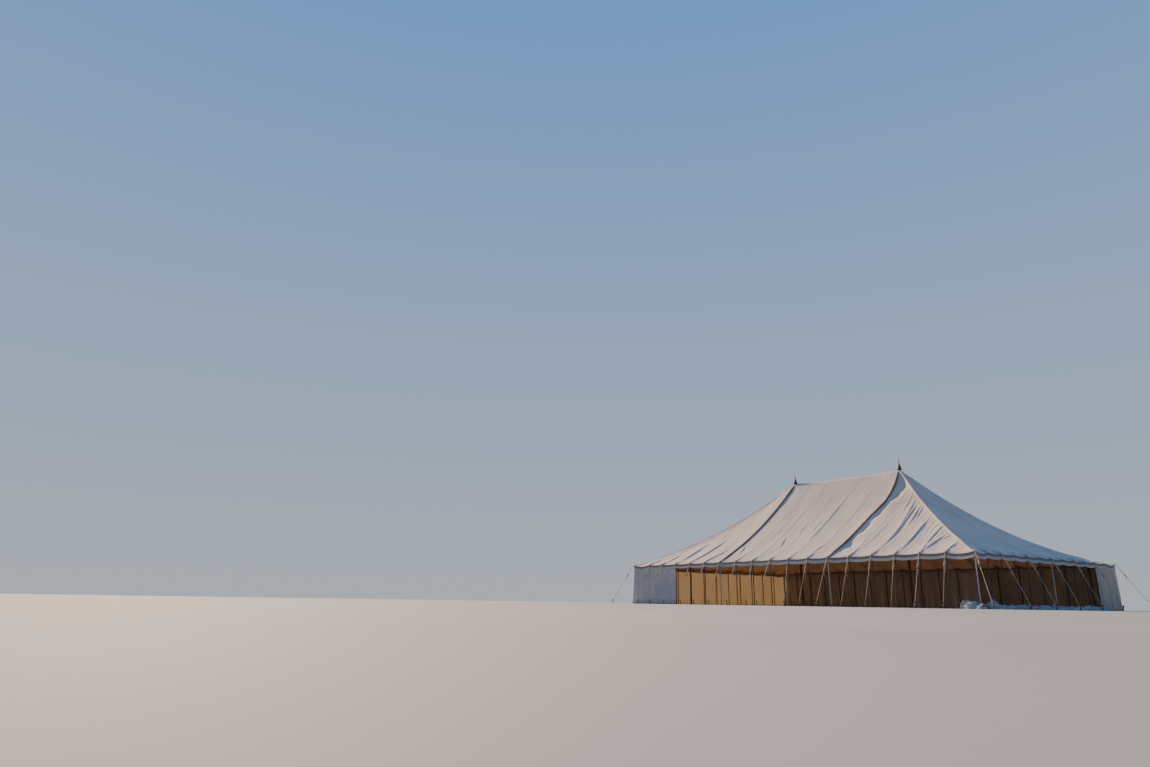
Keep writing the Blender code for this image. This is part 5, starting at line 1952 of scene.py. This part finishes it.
@dataclass
class DroppedWall:
    """The unhooked wall, which lies in a crumpled heap round the front right corner."""

    finishes: Finishes
    width: float = 0.40
    height: float = 0.34
    out: float = 0.22  # from the eave's line to the heap's middle
    end_out: float = 0.17  # the same at the hung panel
    front_bays: float = 0.64  # how much of it lies along the front
    side_bays: float = 10.0
    drop: float = 1.80  # the wall's height when it hangs
    stations: int = 560
    across: int = 72
    pleats: float = 5.4
    lumps: tuple[tuple[float, ...], tuple[float, ...]] = (  # distance along the heap, and its height's share
        (0.0, 0.12, 0.35, 0.6, 0.85, 1.2, 1.6, 2.0, 2.3, 2.7, 3.1, 3.6, 4.2, 5.0, 6.0, 7.0, 8.0, 9.6, 12.0),
        (0.6, 0.85, 1.0, 0.8, 0.55, 0.5, 0.55, 0.85, 1.0, 0.75)
        + (0.48, 0.58, 0.45, 0.6, 0.46, 0.56, 0.45, 0.55, 0.5),
    )

    def _track(self) -> tuple[np.ndarray, np.ndarray, np.ndarray]:
        """Works out the line that the heap lies along.

        Returns:
            Its points in plan, the way out at each, and the distance along it.
        """
        front = np.linspace(self.front_bays, 0, 26)[:-1]
        front_plan = FORM.outset(18 - front, self.out)
        corner = FORM.eave(np.array(18.0))
        angle = np.linspace(-math.pi / 2, 0, 16)[:-1]
        away = np.stack([np.cos(angle), np.sin(angle)], 1)
        corner_plan = corner + away * self.out
        side = np.linspace(0, self.side_bays, 260)
        side_plan = FORM.outset(
            18 + side, self.out - (self.out - self.end_out) * smooth((side - self.side_bays + 0.6) / 0.6)
        )
        side_plan[-1, 1] -= 0.002
        plan = np.concatenate([front_plan, corner_plan, side_plan])
        outs = np.concatenate(
            [np.tile((0.0, -1.0), (len(front_plan), 1)), away, np.tile((1.0, 0.0), (len(side), 1))]
        )
        along = np.concatenate([[0], np.linalg.norm(np.diff(plan, axis=0), axis=1).cumsum()])
        even = np.linspace(0, along[-1], self.stations)
        plan, outs = (
            np.stack([np.interp(even, along, values[:, axis]) for axis in (0, 1)], 1)
            for values in (plan, outs)
        )
        return plan, outs, even

    def build(self) -> None:
        """Folds a long sheet over itself along the track and gives it its thickness."""
        plan, outs, along = self._track()
        rng = np.random.default_rng(SEED + 2)
        share = np.linspace(0, 1, self.across)[None]
        s = along[:, None]
        body = np.interp(s, self.lumps[0], self.lumps[1]) * smooth(s / 0.16)
        phase = 2.6 * np.sin(1.1 * s) + 1.7 * np.sin(3.1 * s + 1) + 0.7 * np.sin(7.9 * s + 2)
        turn = 2 * np.pi * self.pleats * share + phase
        hump = np.sin(np.pi * share) ** 0.65
        folds = 1 - np.abs(np.sin(turn / 2)) ** 1.3
        ripple = 1 - np.abs(
            np.sin(6.5 * s + 1.6 * np.sin(2.3 * s) + 0.9 * np.sin(5.1 * s + 2) + 3 * share)
        ) ** 1.4
        z = self.height * body * hump * (0.24 + 0.76 * folds) * (0.82 + 0.34 * ripple)
        wide = self.width * (0.86 + 0.05 * np.sin(1.7 * s) + 0.22 * (ripple - 0.4))
        x = (share - 0.5) * wide + 0.040 * np.sin(turn + 1.2) * hump
        for _ in range(14):
            k_along, k_across = rng.uniform(3, 14), rng.uniform(-10, 10)
            size, shift = 0.055 / (1 + 0.30 * k_along), rng.uniform(0, 6.28)
            bend = 0.8 * np.sin(0.7 * k_along * s + shift)
            crease = 0.5 - np.abs(np.sin(k_along * s / 2 + k_across * share + shift + bend))
            z = z + size * crease * hump * (0.35 + body)
            x = x + 0.5 * size * np.cos(k_along * s - k_across * share + shift) * hump
        z = np.maximum(z, 0.004 + 0.02 * hump * folds)
        z[:, 0] = z[:, -1] = 0.0055
        end = smooth((along[-1] - s) / 0.05)
        flat = plan[:, None] + outs[:, None] * x[..., None]
        places = np.concatenate([flat, (z * (0.25 + 0.75 * end))[..., None]], -1)
        cloth = Cloth("dropped_wall_canvas")
        cloth.grid(places, np.stack(np.broadcast_arrays(s, share * self.drop), -1))
        piece = Bench.thicken(cloth.make(self.finishes.heap), FORM.curtain)
        for vertex in piece.data.vertices:
            vertex.co.z = max(vertex.co.z, 0.0005)
        piece.data.shade_smooth()
        finish_piece(piece, Slot.WALL, "dropped_wall")


# Studio


@dataclass
class Studio:
    """Floor, soft light and the camera at the photograph's viewing angle."""

    place: tuple[float, float, float] = (22.982, -33.338, 0.048)  # of the camera
    azimuth: float = -54.179  # degrees from +Y, clockwise
    pitch: float = 15.932
    roll: float = 0.83
    lens: float = 23.94
    sensor: float = 36.0
    sun_from: tuple[float, float] = (-1.0, 0.07)  # in plan
    sun_height: float = 22.0
    sun_spread: float = 1.5
    sun_strength: float = 10.0
    sun_colour: tuple[float, float, float] = (1.0, 0.715, 0.44)
    horizon: str = "#B6BEC6"
    zenith: str = "#5C99E0"
    sky_strength: float = 1.0

    def build(self) -> None:
        """Adds the floor, the key light, the sky fill and the camera."""
        bpy.ops.mesh.primitive_plane_add(size=600, location=(0, 0, 0))
        floor = Bench.added("studio_floor")
        floor.data.materials.append(PlainGround().make())
        self._camera()
        self._light()

    def _camera(self) -> None:
        """The camera, solved from the eave points, peaks and pole feet."""
        az, pitch, roll = (math.radians(v) for v in (self.azimuth, self.pitch, self.roll))
        level = math.cos(pitch)
        forward = Vector((math.sin(az) * level, math.cos(az) * level, math.sin(pitch)))
        right = Vector((math.cos(az), -math.sin(az), 0))
        up = right.cross(forward)
        turned = right * math.cos(roll) + up * math.sin(roll)
        upright = up * math.cos(roll) - right * math.sin(roll)
        data = bpy.data.cameras.new("camera")
        data.lens, data.sensor_width = self.lens, self.sensor
        data.clip_start, data.clip_end = 0.02, 1000.0
        camera = bpy.data.objects.new("camera", data)
        axes = Matrix((turned, upright, -forward)).transposed().to_4x4()
        camera.matrix_world = Matrix.Translation(self.place) @ axes
        bpy.context.scene.collection.objects.link(camera)
        bpy.context.scene.camera = camera

    def _light(self) -> None:
        """A low soft key from the left end, a little behind the front, and a sky that goes from pale grey at
        the horizon to blue overhead.
        """
        height = math.radians(self.sun_height)
        flat = Vector(self.sun_from).normalized()
        towards = Vector((flat.x * math.cos(height), flat.y * math.cos(height), math.sin(height)))
        data = bpy.data.lights.new("key", "SUN")
        data.energy, data.color = self.sun_strength, self.sun_colour
        data.angle = math.radians(self.sun_spread)
        key = bpy.data.objects.new("key", data)
        key.rotation_mode = "QUATERNION"
        key.rotation_quaternion = towards.to_track_quat("Z", "Y")
        key.location = towards * 60
        bpy.context.scene.collection.objects.link(key)
        world = bpy.data.worlds.new("sky")
        bpy.context.scene.world = world
        world.use_nodes = True
        height = node(world, "SeparateXYZ", {0: node(world, "TexCoord")}).outputs["Z"]
        share = node(world, "MapRange", {"Value": height, "From Min": 0.02, "From Max": 0.75})
        sky = node(world, "MixRGB", {"Fac": share, "Color1": self.horizon, "Color2": self.zenith})
        back = world.node_tree.nodes["Background"]
        world.node_tree.links.new(sky.outputs[0], back.inputs["Color"])
        back.inputs["Strength"].default_value = self.sky_strength


def main() -> None:
    """Builds the tent's dress in order."""
    logging.basicConfig(level=logging.INFO, format="%(message)s")
    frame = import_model()
    LOG.info("%d nodes to dress", len(frame["nodes"]))
    Bench.clear()
    finishes = Finishes()
    Studio().build()
    for part in (Roof, Curtains, Poles, Peaks, Guys, DroppedWall):
        part(finishes).build()
    Bench.clear()
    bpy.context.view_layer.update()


if __name__ == "__main__":
    main()
